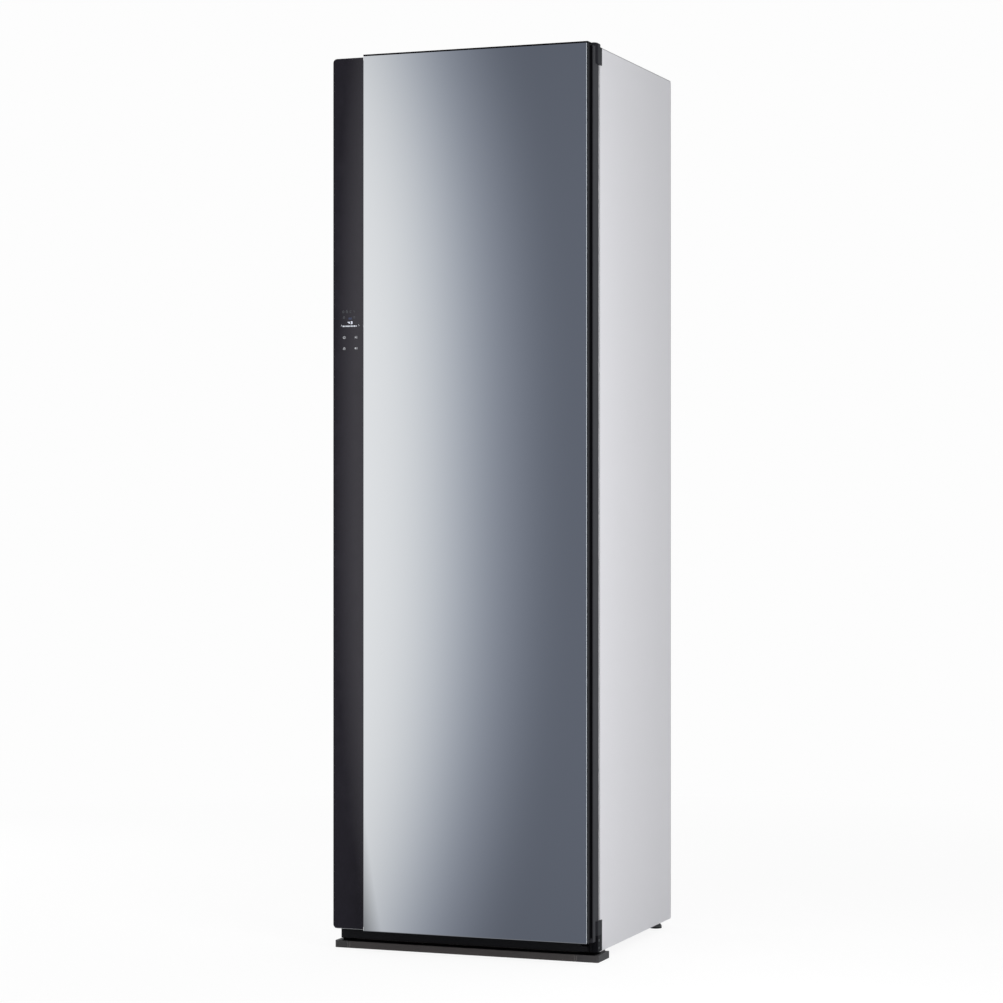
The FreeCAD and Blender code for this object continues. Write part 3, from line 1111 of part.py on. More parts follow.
def housing_room(gap):
    """Room inside the door housing, stepped round the two solid hinge corners."""
    wall = f"(housing_wall + {gap})"
    left, right = f"(-{HALF} + {wall})", f"({HALF} - {wall})"
    low, high = f"({DOOR_LOW} + {wall})", f"({DOOR_HIGH} - {wall})"
    step_x = f"({NOTCH_X} - {wall} - bush_radius)"
    step_high = f"({NOTCH_TOP} - pin_reach - {wall} * 2)"
    step_low = f"({NOTCH_LOW} + pin_reach + {wall} * 2)"
    return outline((left, low), (step_x, low), (step_x, step_low), (right, step_low),
                   (right, step_high), (step_x, step_high), (step_x, high), (left, high))


def door_housing():
    """Dark door tray, open behind, notched at its right corners for the hinge covers."""
    body = new_body("door_housing")
    pad(body, "z", (DOOR_LOW, DOOR_HIGH), outline(
        (f"-{HALF}", HOUSING_FRONT, "housing_corner"), (HALF, HOUSING_FRONT, "housing_corner"),
        (HALF, DOOR_BACK, "housing_corner"), (f"-{HALF}", DOOR_BACK, "housing_corner")))
    pocket(body, "y", (f"{HOUSING_FRONT} + housing_wall", DOOR_BACK), housing_room("0"))
    for ends in ((NOTCH_TOP, DOOR_HIGH), (DOOR_LOW, NOTCH_LOW)):
        pocket(body, "z", ends, rectangle(
            (NOTCH_X, f"{HALF} + cut_over"), (NOTCH_Y, f"{DOOR_BACK} + cut_over")))
    for ends in BUSH_ENDS:
        pocket(body, "z", ends, ring(HINGE_X, HINGE_Y, "bush_radius"))
    node(body, "door_housing")


def door_bushes():
    bushes = []
    for i, ends in enumerate(BUSH_ENDS):
        sleeve = cylinder(f"sleeve_{i}", "bush_radius", "z", (HINGE_X, HINGE_Y), ends)
        bore = cylinder(f"sleeve_bore_{i}", "pin_radius + pin_fit", "z", (HINGE_X, HINGE_Y), ends)
        bushes.append(less(f"bush_{i}", sleeve, bore))
    node(group("door_bushes", *bushes), "door_bushes")


def door_filling():
    """Foam in the housing, cut out for the display module, and the liner that closes it behind."""
    front = f"({HOUSING_FRONT} + housing_wall)"
    liner_front = f"({DOOR_BACK} - door_liner_thickness)"
    across = (f"-{HALF} + display_inset", f"-{HALF} + display_inset + display_width")
    up = ("display_z", "display_z + display_height")

    foam = new_body("door_insulation")
    pad(foam, "y", (front, liner_front), housing_room("foam_gap"))
    pocket(foam, "y", (front, f"{front} + display_depth + foam_gap"), rectangle(
        (f"{across[0]} - foam_gap", f"{across[1]} + foam_gap"),
        (f"{up[0]} - foam_gap", f"{up[1]} + foam_gap")))
    node(foam, "door_insulation")

    display = new_body("display_module")
    pad(display, "y", (front, f"{front} + display_depth"), rectangle(across, up, "display_corner"))
    pocket(display, "y", (f"{front} + display_depth / 2", f"{front} + display_depth"), rectangle(
        (f"{across[0]} + display_frame", f"{across[1]} - display_frame"),
        (f"{up[0]} + display_frame", f"{up[1]} - display_frame"), "display_corner"))
    node(display, "display_module")

    liner = new_body("door_liner")
    pad(liner, "y", (liner_front, DOOR_BACK), housing_room("seat_gap"))
    dike_x = f"({CHAMBER_X} - dike_inset)"
    pad(liner, "y", (DOOR_BACK, f"{DOOR_BACK} + dike_rise"), rectangle(
        (f"-{dike_x}", dike_x), (f"{FLOOR} + dike_inset", f"{CEILING} - dike_inset"), "frame_corner"))
    node(liner, "door_liner")


def door_gasket():
    """Soft seal on the door's back, round the chamber opening."""
    body = new_body("door_gasket")
    half = f"({CHAMBER_X} + gasket_outset)"
    low, high = f"({FLOOR} - gasket_outset)", f"({CEILING} + gasket_outset)"
    pad(body, "y", (DOOR_BACK, f"{FRONT} - gasket_air"),
        rectangle((f"-{half}", half), (low, high), "gasket_corner"),
        rectangle((f"-{half} + gasket_width", f"{half} - gasket_width"),
                  (f"{low} + gasket_width", f"{high} - gasket_width"), "gasket_corner - gasket_width"))
    node(body, "door_gasket")


def mirror():
    """Bevelled mirror on a carrier frame that holds it proud of the control strip."""
    glass = new_body("mirror_glass")
    pad(glass, "y", (MIRROR_FRONT, CARRIER_FRONT), rectangle((MIRROR_X, HALF), (MIRROR_LOW, MIRROR_HIGH)))
    ease(glass, "Chamfer", "mirror_bevel", lambda edge: lies_at(edge, "y", MIRROR_FRONT))
    node(glass, "mirror_glass")

    carrier = new_body("mirror_carrier")
    right = f"({HALF} - carrier_inset_right)"
    low = f"({DOOR_LOW} + carrier_inset_ends)"
    high = f"({DOOR_HIGH} + trim_rise)"
    pad(carrier, "y", (CARRIER_FRONT, HOUSING_FRONT), rectangle((CARRIER_X, right), (low, DOOR_HIGH)))
    window_high = f"({low} + carrier_window_pitch - carrier_rail)"
    window = pocket(carrier, "y", (CARRIER_FRONT, HOUSING_FRONT), rectangle(
        (f"{CARRIER_X} + carrier_rail", f"{right} - carrier_rail"),
        (f"{low} + carrier_rail", window_high), "frame_corner"))
    repeat_along(carrier, window, "z", "carrier_window_pitch", "carrier_windows")
    pad(carrier, "y", (f"{MIRROR_FRONT} + mirror_bevel / 2", f"{HOUSING_FRONT} - strip_glass - seat_gap"),
        rectangle((MIRROR_X, HALF), (f"{MIRROR_HIGH} + trim_gap", high), "trim_round"))
    pad(carrier, "y", (CARRIER_FRONT, HOUSING_FRONT), rectangle(
        (CARRIER_X, right), (f"{DOOR_HIGH} - trim_root", high)))
    node(carrier, "mirror_carrier")


def control_strip():
    """Black glass strip beside the mirror; its right part lies at the bottom of the finger channel."""
    body = new_body("control_strip")
    high = f"({DOOR_HIGH} + door_top_drop)"
    pad(body, "y", (f"{HOUSING_FRONT} - strip_glass", HOUSING_FRONT), outline(
        (f"-{HALF}", DOOR_LOW, "strip_corner"), (f"{CARRIER_X} - seat_gap", DOOR_LOW),
        (f"{CARRIER_X} - seat_gap", high), (f"-{HALF}", high, "strip_corner")))
    ease(body, "Chamfer", "mirror_bevel / 2",
         lambda edge: lies_at(edge, "y", f"{HOUSING_FRONT} - strip_glass")
         and edge.BoundBox.XMax < number(f"-{HALF} + strip_corner + edge_round"))
    node(body, "control_strip")


# ---------------------------------------------------------------- trousers press

def trousers_press():
    """Backboard with its clip bar on the door's inside, and the ribbed plate hinged to it."""
    board_back = f"({DOOR_BACK} + dike_rise)"
    board_front = f"({board_back} + press_board)"
    hinge_y = f"({board_back} + press_hinge_out)"
    left = "(press_hinge_x - press_air - press_width)"
    right = "(press_hinge_x - press_air)"
    knuckles = ("press_low + press_knuckle_inset",
                "press_high - press_knuckle_inset - press_knuckle_length")

    board = new_body("press_board")
    bar_low = "(press_high + clip_rise)"
    bar_high = f"({bar_low} + clip_bar_height)"
    bar_half = "(clip_bar_width / 2)"
    pad(board, "y", (board_back, board_front), rectangle(
        (f"{left} - press_edge", "press_hinge_x + press_knuckle + press_edge"),
        ("press_low - press_edge", f"{bar_high} + press_edge"), "press_edge"))
    pad(board, "y", (f"{board_back} + press_board / 2", f"{board_back} + clip_bar_depth"), rectangle(
        (f"-{bar_half}", bar_half), (bar_low, bar_high), "clip_bar_height / 2 - seat_gap"))
    jaw = pad(board, "x", ("-jaw_x - clip_width / 2", "-jaw_x + clip_width / 2"), outline(
        (f"{board_back} + press_board / 2", bar_high),
        (f"{board_back} + press_board / 2", f"{bar_low} - clip_bar_height"),
        (f"{board_back} + clip_bar_depth", f"{bar_low} - clip_bar_height / 2", "jaw_round"),
        (f"{board_back} + clip_bar_depth", bar_high)))
    repeat_along(board, jaw, "x", "jaw_x * 2", "jaws")
    starts = [f"({low} {step})" for low in knuckles
              for step in ("- press_knuckle_length / 2 - seat_gap", "+ press_knuckle_length + seat_gap")]
    pad(board, "y", (f"{board_back} + press_board / 2", f"{hinge_y} + press_knuckle"), *[rectangle(
        ("press_hinge_x - press_knuckle", "press_hinge_x + press_knuckle"),
        (start, f"{start} + press_knuckle_length / 2")) for start in starts])
    ease(board, "Fillet", "press_knuckle - seat_gap",
         lambda edge: runs_along(edge, "z") and lies_at(edge, "y", f"{hinge_y} + press_knuckle"))
    for low in knuckles:
        pad(board, "z", (f"{low} - press_pin_reach", f"{low} + press_knuckle_length + press_pin_reach"),
            ring("press_hinge_x", hinge_y, "press_pin"))
    node(board, "press_board")

    plate = new_body("press_plate")
    plate_back = f"({board_front} + press_air)"
    plate_front = f"({plate_back} + press_plate)"
    pad(plate, "y", (plate_back, plate_front), rectangle(
        (left, right), ("press_low", "press_high"), "press_corner"))
    for low in knuckles:
        pocket(plate, "z", (f"{low} - press_gap", f"{low} + press_knuckle_length + press_gap"),
               rectangle(("press_hinge_x - press_knuckle - press_relief", f"{right} + cut_over"),
                         (f"{plate_back} - cut_over", f"{plate_front} + cut_over")))
        pad(plate, "z", (low, f"{low} + press_knuckle_length"), outline(
            ("press_hinge_x - press_root", f"{hinge_y} + press_knuckle"),
            ("press_hinge_x + press_knuckle", f"{hinge_y} + press_knuckle", "press_knuckle - seat_gap"),
            ("press_hinge_x + press_knuckle", f"{hinge_y} - press_knuckle", "press_knuckle - seat_gap"),
            ("press_hinge_x - press_root", f"{hinge_y} - press_knuckle")),
            ring("press_hinge_x", hinge_y, "press_pin + pin_fit"))
    room_low = "(press_low + press_wall + press_rib_pitch)"
    pocket(plate, "y", (f"{plate_back} + press_wall", plate_front), rectangle(
        (f"{left} + press_wall", f"{right} - press_back"),
        ("press_low + press_wall", "press_high - press_wall"), "press_inner_corner"))
    # the room is cut from the chamber side, and ribs cross it again
    rib = pad(plate, "y", (f"{plate_back} + press_wall / 2", f"{plate_front} - press_wall"), rectangle(
        (f"{left} + press_wall / 2", f"{right} - press_back + press_wall"),
        (room_low, f"{room_low} + press_rib")))
    repeat_along(plate, rib, "z", "press_rib_pitch", "press_ribs")
    node(plate, "press_plate")


# ---------------------------------------------------------------- assembly

side_panel("left", -1)
side_panel("right", 1)
top_panel()
rear_panel()
base_pan()
front_frame()
kick_panel()
plinth()
feet()
cord_gland()
chamber_liner()
insulation()
shelf()
lint_filter()
aroma_case()
floor_fittings()
chamber_lamp()
tank_fascia()
tank("supply", -1)
tank("drain", 1)
steam_generator()
compressor()
heat_exchanger("condenser", f"({REAR_INNER} - coil_rear)")
heat_exchanger("evaporator", f"({REAR_INNER} - coil_rear - coil_depth - coil_gap)")
blower()
control_box()
drive_plate()
hanger()
crank()
drive_belt()
hinge_covers()
hinge_brackets()
door_housing()
door_bushes()
door_filling()
door_gasket()
mirror()
control_strip()
trousers_press()
doc.recompute()

# ---------------------------------------------------------------- checks and files

failed = [item.Label for item in doc.Objects if "Invalid" in item.State or "Error" in item.State]
hollow = [item.Label for item in nodes if item.Shape.isNull() or not item.Shape.isValid()]
if failed or hollow:
    raise RuntimeError(f"did not build: {failed}; no valid shape: {hollow}")

os.makedirs("parts", exist_ok=True)
for item in nodes:
    item.Shape.exportStep(os.path.join("parts", item.Label + ".step"))
print(f"{len(nodes)} sub-parts written")
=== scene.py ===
import bmesh
import bpy
import math
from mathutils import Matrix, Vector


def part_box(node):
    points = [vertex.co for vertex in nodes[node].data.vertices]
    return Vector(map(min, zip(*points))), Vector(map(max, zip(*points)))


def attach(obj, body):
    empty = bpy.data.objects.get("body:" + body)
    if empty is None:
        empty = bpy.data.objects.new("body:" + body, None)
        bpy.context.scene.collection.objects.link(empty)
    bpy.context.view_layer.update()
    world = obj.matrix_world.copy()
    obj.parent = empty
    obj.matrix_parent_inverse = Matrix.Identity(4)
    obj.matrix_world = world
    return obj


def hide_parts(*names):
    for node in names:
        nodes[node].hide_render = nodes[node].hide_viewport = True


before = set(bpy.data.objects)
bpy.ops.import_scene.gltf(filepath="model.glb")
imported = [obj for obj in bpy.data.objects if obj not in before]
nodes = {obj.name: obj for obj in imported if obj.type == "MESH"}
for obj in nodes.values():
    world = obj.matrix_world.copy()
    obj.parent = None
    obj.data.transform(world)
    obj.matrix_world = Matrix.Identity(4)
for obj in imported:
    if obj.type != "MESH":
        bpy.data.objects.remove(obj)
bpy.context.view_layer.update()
scene = bpy.context.scene
MM = 0.001


def corners(name):
    """Lowest and highest corners of a CAD node, in millimetres."""
    low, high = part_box(name)
    return [part / MM for part in low], [part / MM for part in high]


# ---------------------------------------------------------------- finishes


class Tree:
    """Short calls for building the node tree of a material or of the world."""

    def __init__(self, name, store=bpy.data.materials):
        self.block = store.new(name)
        self.block.use_nodes = True
        self.tree = self.block.node_tree
        self.tree.nodes.clear()

    def add(self, kind, sockets=None, **settings):
        node = self.tree.nodes.new("ShaderNode" + kind)
        for key, value in settings.items():
            setattr(node, key, value)
        for key, value in (sockets or {}).items():
            if isinstance(value, bpy.types.NodeSocket):
                self.tree.links.new(value, node.inputs[key])
            else:
                node.inputs[key].default_value = value
        return node

    def math(self, operation, *values):
        return self.add("Math", dict(enumerate(values)), operation=operation).outputs[0]

    def mix(self, factor, first, second):
        node = self.add("Mix", {0: factor, 6: first, 7: second}, data_type="RGBA")
        return node.outputs[2]

    def spread(self, factor, low, high, first=0.0, last=1.0, **settings):
        """A value that goes from low to high while the factor goes from first to last."""
        node = self.add("MapRange", {"Value": factor, "From Min": first, "From Max": last,
                                     "To Min": low, "To Max": high}, **settings)
        return node.outputs["Result"]

    def place(self, stretch=(1, 1, 1)):
        spot = self.add("TexCoord").outputs["Object"]
        return self.add("Mapping", {"Vector": spot, "Scale": stretch}).outputs["Vector"]

    def noise(self, scale, detail=3.0, stretch=(1, 1, 1)):
        node = self.add("TexNoise", {"Vector": self.place(stretch), "Scale": scale, "Detail": detail})
        return node.outputs["Fac"]

    def relief(self, height, strength, depth):
        node = self.add("Bump", {"Strength": strength, "Distance": depth, "Height": height})
        return node.outputs["Normal"]

    def finish(self, surface, output="OutputMaterial"):
        self.add(output, {"Surface": surface})
        return self.block


def shade(colour, factor):
    """A colour made lighter or darker, as a socket takes it."""
    return (*(min(1.0, part * factor) for part in colour), 1.0)


def surface(name, colour, roughness, metallic=0.0, drift=0.05, mottle=5.0, grain=700.0, relief=0.08,
            depth=0.0002, uneven=0.12, stretch=(1, 1, 1), coat=0.0, specular=0.5):
    """A finish whose colour drifts a little, with uneven gloss and a fine relief of its own scale."""
    tree = Tree(name)
    cloud = tree.noise(mottle, 4.0)
    fine = tree.noise(grain, 3.0, stretch)
    tint = tree.mix(cloud, shade(colour, 1 - drift), shade(colour, 1 + drift))
    both = tree.math("ADD", tree.math("MULTIPLY", cloud, 0.5), tree.math("MULTIPLY", fine, 0.5))
    gloss = tree.spread(both, roughness * (1 - uneven), roughness * (1 + uneven), 0.3, 0.7)
    shader = tree.add("BsdfPrincipled", {
        "Base Color": tint, "Roughness": gloss, "Metallic": metallic, "Specular IOR Level": specular,
        "Coat Weight": coat, "Coat Roughness": 0.08, "Normal": tree.relief(fine, relief, depth)})
    return tree.finish(shader.outputs[0])


def mirror_finish():
    """Silvered glass: a bright face and bevel, and the dark green-grey of the cut edge."""
    tree = Tree("mirror_silver")
    haze = tree.noise(14.0, 5.0)
    silver = tree.add("BsdfPrincipled", {
        "Base Color": (0.93, 0.935, 0.945, 1), "Metallic": 1.0, "Roughness": tree.spread(haze, 0.006, 0.02)})
    edge = tree.add("BsdfPrincipled", {
        "Base Color": (0.006, 0.008, 0.009, 1), "Roughness": 0.3, "Specular IOR Level": 0.08})
    facing = tree.add("SeparateXYZ", {0: tree.add("TexCoord").outputs["Normal"]}).outputs["Y"]
    is_edge = tree.math("GREATER_THAN", facing, -0.4)
    both = tree.add("MixShader", {0: is_edge, 1: silver.outputs[0], 2: edge.outputs[0]})
    return tree.finish(both.outputs[0])


def black_glass():
    """Back-painted glass with the faint haze that fingers leave."""
    tree = Tree("black_glass")
    haze = tree.noise(35.0, 6.0)
    shader = tree.add("BsdfPrincipled", {
        "Base Color": tree.mix(haze, (0.0070, 0.0060, 0.0108, 1), (0.0098, 0.0085, 0.0142, 1)),
        "Roughness": tree.spread(haze, 0.012, 0.05, 0.35, 0.75), "Specular IOR Level": 0.76,
        "Specular Tint": (0.985, 0.93, 1.0, 1)})
    return tree.finish(shader.outputs[0])


def galvanised():
    """Zinc-coated sheet with its crystal pattern."""
    tree = Tree("galvanised_sheet")
    cells = tree.add("TexVoronoi", {"Vector": tree.place(), "Scale": 130.0}).outputs["Color"]
    level = tree.add("SeparateXYZ", {0: cells}).outputs["X"]
    shader = tree.add("BsdfPrincipled", {
        "Base Color": tree.mix(level, (0.50, 0.51, 0.52, 1), (0.62, 0.63, 0.64, 1)), "Metallic": 0.85,
        "Roughness": tree.spread(level, 0.32, 0.5), "Normal": tree.relief(tree.noise(900.0), 0.05, 0.0001)})
    return tree.finish(shader.outputs[0])


def brushed(name, colour, roughness, stretch):
    """Metal with fine drawn lines along one direction."""
    tree = Tree(name)
    lines = tree.noise(260.0, 4.0, stretch)
    shader = tree.add("BsdfPrincipled", {
        "Base Color": tree.mix(lines, shade(colour, 0.9), shade(colour, 1.08)), "Metallic": 1.0,
        "Roughness": tree.spread(lines, roughness * 0.8, roughness * 1.25),
        "Normal": tree.relief(lines, 0.12, 0.0002)})
    return tree.finish(shader.outputs[0])


def tank_finish():
    """Tinted blow-moulded plastic, denser where light has far to go."""
    tree = Tree("tank_smoke")
    cloud = tree.noise(9.0, 3.0)
    shader = tree.add("BsdfPrincipled", {
        "Base Color": tree.mix(cloud, (0.16, 0.19, 0.23, 1), (0.22, 0.25, 0.29, 1)),
        "Roughness": tree.spread(cloud, 0.16, 0.26), "Transmission Weight": 0.35, "IOR": 1.49,
        "Normal": tree.relief(tree.noise(60.0), 0.05, 0.0006)})
    return tree.finish(shader.outputs[0])


def glow(name, colour, strength):
    """A print or lens that is lit from behind."""
    tree = Tree(name)
    grain = tree.noise(900.0, 1.0)
    light = tree.add("BsdfPrincipled", {
        "Base Color": (0.02, 0.02, 0.02, 1), "Roughness": 0.3, "Emission Color": (*colour, 1),
        "Emission Strength": tree.spread(grain, strength * 0.92, strength * 1.08)})
    return tree.finish(light.outputs[0])


WHITE_STEEL = surface("white_coat", (0.80, 0.795, 0.825), 0.36, drift=0.012, mottle=2.2, grain=420.0,
                      relief=0.06, depth=0.0003)
WHITE_PLASTIC = surface("white_moulding", (0.70, 0.70, 0.705), 0.42, drift=0.02, grain=1600.0, relief=0.10)
WARM_PLASTIC = surface("liner_moulding", (0.60, 0.605, 0.61), 0.36, drift=0.025, mottle=3.0, grain=1300.0,
                       relief=0.12)
DARK_PLASTIC = surface("dark_moulding", (0.0205, 0.0200, 0.0235), 0.46, drift=0.06, grain=1800.0,
                       relief=0.16, specular=0.22)
COVER_PLASTIC = surface("cover_moulding", (0.014, 0.014, 0.017), 0.44, drift=0.1, grain=1800.0,
                        relief=0.16, specular=0.16)
PLINTH_PLASTIC = surface("plinth_moulding", (0.064, 0.057, 0.056), 0.52, drift=0.10, mottle=14.0,
                         grain=1500.0, relief=0.22, specular=0.35)
END_PLASTIC = surface("plinth_end_moulding", (0.052, 0.049, 0.050), 0.52, drift=0.14, mottle=22.0,
                      grain=1500.0, relief=0.22, specular=0.35)
BLACK_PLASTIC = surface("black_moulding", (0.0035, 0.0035, 0.0045), 0.42, drift=0.2, grain=1700.0,
                        relief=0.18, specular=0.06)
KICK_PLASTIC = surface("kick_moulding", (0.0150, 0.0150, 0.0172), 0.44, drift=0.15, grain=1700.0,
                       relief=0.18, specular=0.10)
# Pale grey of the painted highlight beside the plinth's joints.
JOINT_HIGHLIGHT_PLASTIC = surface("painted_joint_highlight", (0.092, 0.085, 0.083), 0.42, drift=0.12, grain=1500.0, relief=0.2)
GREY_PLASTIC = surface("grey_moulding", (0.27, 0.28, 0.29), 0.44, drift=0.04, grain=1500.0, relief=0.14)
FOOT_PLASTIC = surface("foot_moulding", (0.085, 0.085, 0.088), 0.5, drift=0.08, grain=1500.0, relief=0.2)
PALE_PLASTIC = surface("pale_moulding", (0.48, 0.485, 0.49), 0.42, drift=0.03, grain=1500.0, relief=0.12)
RUBBER = surface("soft_seal", (0.020, 0.020, 0.021), 0.62, drift=0.15, grain=900.0, relief=0.2)
FOAM = surface("insulating_foam", (0.62, 0.56, 0.40), 0.85, drift=0.12, mottle=30.0, grain=320.0,
               relief=0.7, depth=0.0012)
ENAMEL = surface("black_enamel", (0.016, 0.016, 0.017), 0.25, drift=0.1, mottle=12.0, grain=350.0,
                 relief=0.08, coat=0.4)
CAP_PLASTIC = surface("cap_moulding", (0.06, 0.17, 0.36), 0.38, drift=0.05, grain=1500.0, relief=0.12)
# Darker grey of the painted shade along the side panels' folded edges.
EDGE_SHADE_COAT = surface("folded_edge_shade", (0.42, 0.415, 0.43), 0.4, drift=0.03, grain=900.0, relief=0.1)
# Pale grey of the ground line beside the mirror's border: a painted highlight.
GROUND_EDGE_HIGHLIGHT = surface("ground_edge_highlight", (0.46, 0.49, 0.53), 0.4, drift=0.04, grain=1200.0, relief=0.1)
SCREW_STEEL = surface("black_screw", (0.16, 0.16, 0.165), 0.34, metallic=0.9, drift=0.1, grain=900.0,
                      relief=0.1)
WINDOW = surface("sight_window", (0.40, 0.46, 0.52), 0.14, drift=0.10, mottle=30.0, grain=500.0,
                 relief=0.06, coat=0.3)
PRINTED = surface("pale_print", (0.72, 0.73, 0.75), 0.45, drift=0.05, grain=1500.0, relief=0.08)
FIN_METAL = brushed("fin_metal", (0.66, 0.67, 0.68), 0.34, (1, 1, 14))
STEEL = brushed("turned_steel", (0.58, 0.58, 0.585), 0.28, (1, 1, 9))
ALUMINIUM = brushed("satin_aluminium", (0.76, 0.77, 0.78), 0.30, (0.05, 1, 1))
GALVANISED = galvanised()
MIRROR = mirror_finish()
GLASS = black_glass()
TANK = tank_finish()
OPAL = glow("opal_lens", (1.0, 0.97, 0.9), 0.55)
DIGITS = glow("display_white", (0.84, 0.88, 1.0), 1.2)
LEVELS = glow("display_level", (0.84, 0.88, 0.96), 1.0)
ICONS = glow("display_dim", (0.72, 0.78, 0.86), 0.10)
LIT_ICON = glow("display_blue", (0.30, 0.42, 1.0), 0.16)
TOUCH = glow("touch_print", (0.78, 0.80, 0.84), 0.58)

FINISH = {
    MIRROR: ["mirror_glass"],
    GLASS: ["control_strip"],
    WHITE_STEEL: ["side_panel_left", "side_panel_right", "top_panel"],
    WHITE_PLASTIC: ["front_frame", "tank_fascia", "shelf", "press_plate"],
    WARM_PLASTIC: ["chamber_liner", "door_liner"],
    PALE_PLASTIC: ["air_grille", "steam_outlet", "aroma_case", "press_board"],
    DARK_PLASTIC: ["door_housing"],
    COVER_PLASTIC: ["hinge_cover_top", "hinge_cover_bottom"],
    PLINTH_PLASTIC: ["front_plinth"],
    END_PLASTIC: ["plinth_cap_left", "plinth_cap_right"],
    KICK_PLASTIC: ["kick_panel"],
    BLACK_PLASTIC: ["mirror_carrier", "hinge_bracket_bottom", "cord_gland", "display_module",
                    "blower_impeller", "control_box"],
    GREY_PLASTIC: ["lint_filter", "door_bushes", "blower_housing"],
    FOOT_PLASTIC: ["foot_front_left", "foot_front_right", "foot_rear_left", "foot_rear_right"],
    RUBBER: ["door_gasket", "drive_belt"],
    FOAM: ["side_insulation", "door_insulation"],
    ENAMEL: ["compressor", "hanger_motor"],
    CAP_PLASTIC: ["supply_cap", "drain_cap"],
    OPAL: ["chamber_lamp"],
    FIN_METAL: ["condenser", "evaporator"],
    STEEL: ["steam_generator", "crank_bracket", "crank_pulley", "motor_pulley", "foot_nuts",
            "hinge_bracket_top"],
    ALUMINIUM: ["hanger_yoke", "hanger_bar"],
    GALVANISED: ["rear_panel", "base_pan", "drive_plate", "blower_motor"],
    TANK: ["supply_tank", "drain_tank"],
}
for finish, names in FINISH.items():
    for name in names:
        for slot in nodes[name].material_slots:
            slot.material = finish

# ---------------------------------------------------------------- drawing helpers, in millimetres


def piece(name, body, finish, draw, smooth=False):
    """A mesh of one finish that moves with a body; draw fills the bmesh."""
    mesh = bpy.data.meshes.new(name)
    shape = bmesh.new()
    draw(shape)
    bmesh.ops.remove_doubles(shape, verts=shape.verts, dist=0.0005)
    bmesh.ops.scale(shape, vec=(MM, MM, MM), verts=shape.verts)
    bmesh.ops.recalc_face_normals(shape, faces=shape.faces)
    for face in shape.faces:
        face.smooth = smooth
    shape.to_mesh(mesh)
    shape.free()
    mesh.materials.append(finish)
    item = bpy.data.objects.new(name, mesh)
    scene.collection.objects.link(item)
    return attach(item, body)


def to_space(axis, u, v, level):
    """A point from its place in the plane across an axis, and its level along that axis."""
    return {"x": (level, u, v), "y": (u, level, v), "z": (u, v, level)}[axis]


def skin(shape, rings):
    """Faces between each closed ring of vertices and the next."""
    for first, second in zip(rings, rings[1:]):
        for i in range(len(first)):
            j = (i + 1) % len(first)
            around = list(dict.fromkeys((first[i], first[j], second[j], second[i])))
            if len(around) > 2:
                shape.faces.new(around)


def prism(shape, axis, outline, low, high):
    """A solid of one outline between two levels along an axis."""
    rings = [[shape.verts.new(to_space(axis, u, v, level)) for u, v in outline] for level in (low, high)]
    shape.faces.new(rings[0])
    shape.faces.new(rings[1])
    skin(shape, rings)


def box_outline(u0, v0, u1, v1):
    """Outline of a rectangle."""
    return (u0, v0), (u1, v0), (u1, v1), (u0, v1)


def arc(centre, radius, first, last, steps):
    """Points on an arc, angles in degrees."""
    spots = []
    for i in range(steps + 1):
        angle = math.radians(first + (last - first) * i / steps)
        spots.append((centre[0] + radius * math.cos(angle), centre[1] + radius * math.sin(angle)))
    return spots


def round_box(u0, v0, u1, v1, radius, steps=5):
    """Outline of a rectangle with rounded corners."""
    spots = []
    for cu, cv, start in ((u1 - radius, v1 - radius, 0), (u0 + radius, v1 - radius, 90),
                          (u0 + radius, v0 + radius, 180), (u1 - radius, v0 + radius, 270)):
        spots += arc((cu, cv), radius, start, start + 90, steps)
    return spots


def ribbon(shape, axis, spots, width, low, high, closed=False):
    """A flat line of even width through the spots, with mitred corners."""
    count = len(spots)
    sides = []
    for i in range(count):
        before = spots[i - 1] if (i or closed) else None
        after = spots[(i + 1) % count] if (i < count - 1 or closed) else None
        ways = []
        for start, end in ((before, spots[i]), (spots[i], after)):
            if start is not None and end is not None:
                size = math.dist(start, end) or 1
                ways.append(((end[0] - start[0]) / size, (end[1] - start[1]) / size))
        way = (sum(w[0] for w in ways) / len(ways), sum(w[1] for w in ways) / len(ways))
        size = max(math.hypot(*way), 0.35)
        off = (-way[1] / size ** 2 * width / 2, way[0] / size ** 2 * width / 2)
        sides.append(((spots[i][0] + off[0], spots[i][1] + off[1]),
                      (spots[i][0] - off[0], spots[i][1] - off[1])))
    for i in range(count if closed else count - 1):
        j = (i + 1) % count
        prism(shape, axis, (sides[i][0], sides[j][0], sides[j][1], sides[i][1]), low, high)


def lathe(shape, axis, centre, profile, steps=28):
    """A turned solid from (radius, level) spots along its axis; centre gives its place across the axis."""
    rings = []
    for radius, level in profile:
        if radius < 0.001:
            rings.append([shape.verts.new(to_space(axis, *centre, level))] * steps)
        else:
            rings.append([shape.verts.new(to_space(axis, *spot, level))
                          for spot in arc(centre, radius, 0, 360 * (steps - 1) / steps, steps - 1)])
    skin(shape, rings)


# From the rim to the middle of a screw head: share of its radius, and share of its rise. Inside RECESS only
# the four arms of the cross sink, and the rest keeps the height of the crown.
HEAD = ((1.0, 0.0), (1.0, 0.35), (0.86, 0.72), (0.66, 0.92), (0.56, 0.97), (0.5, 0.4), (0.16, 0.3))
HEAD_RISE = 0.45
HEAD_STEPS = 32
RECESS = 0.52
CROWN = 0.97


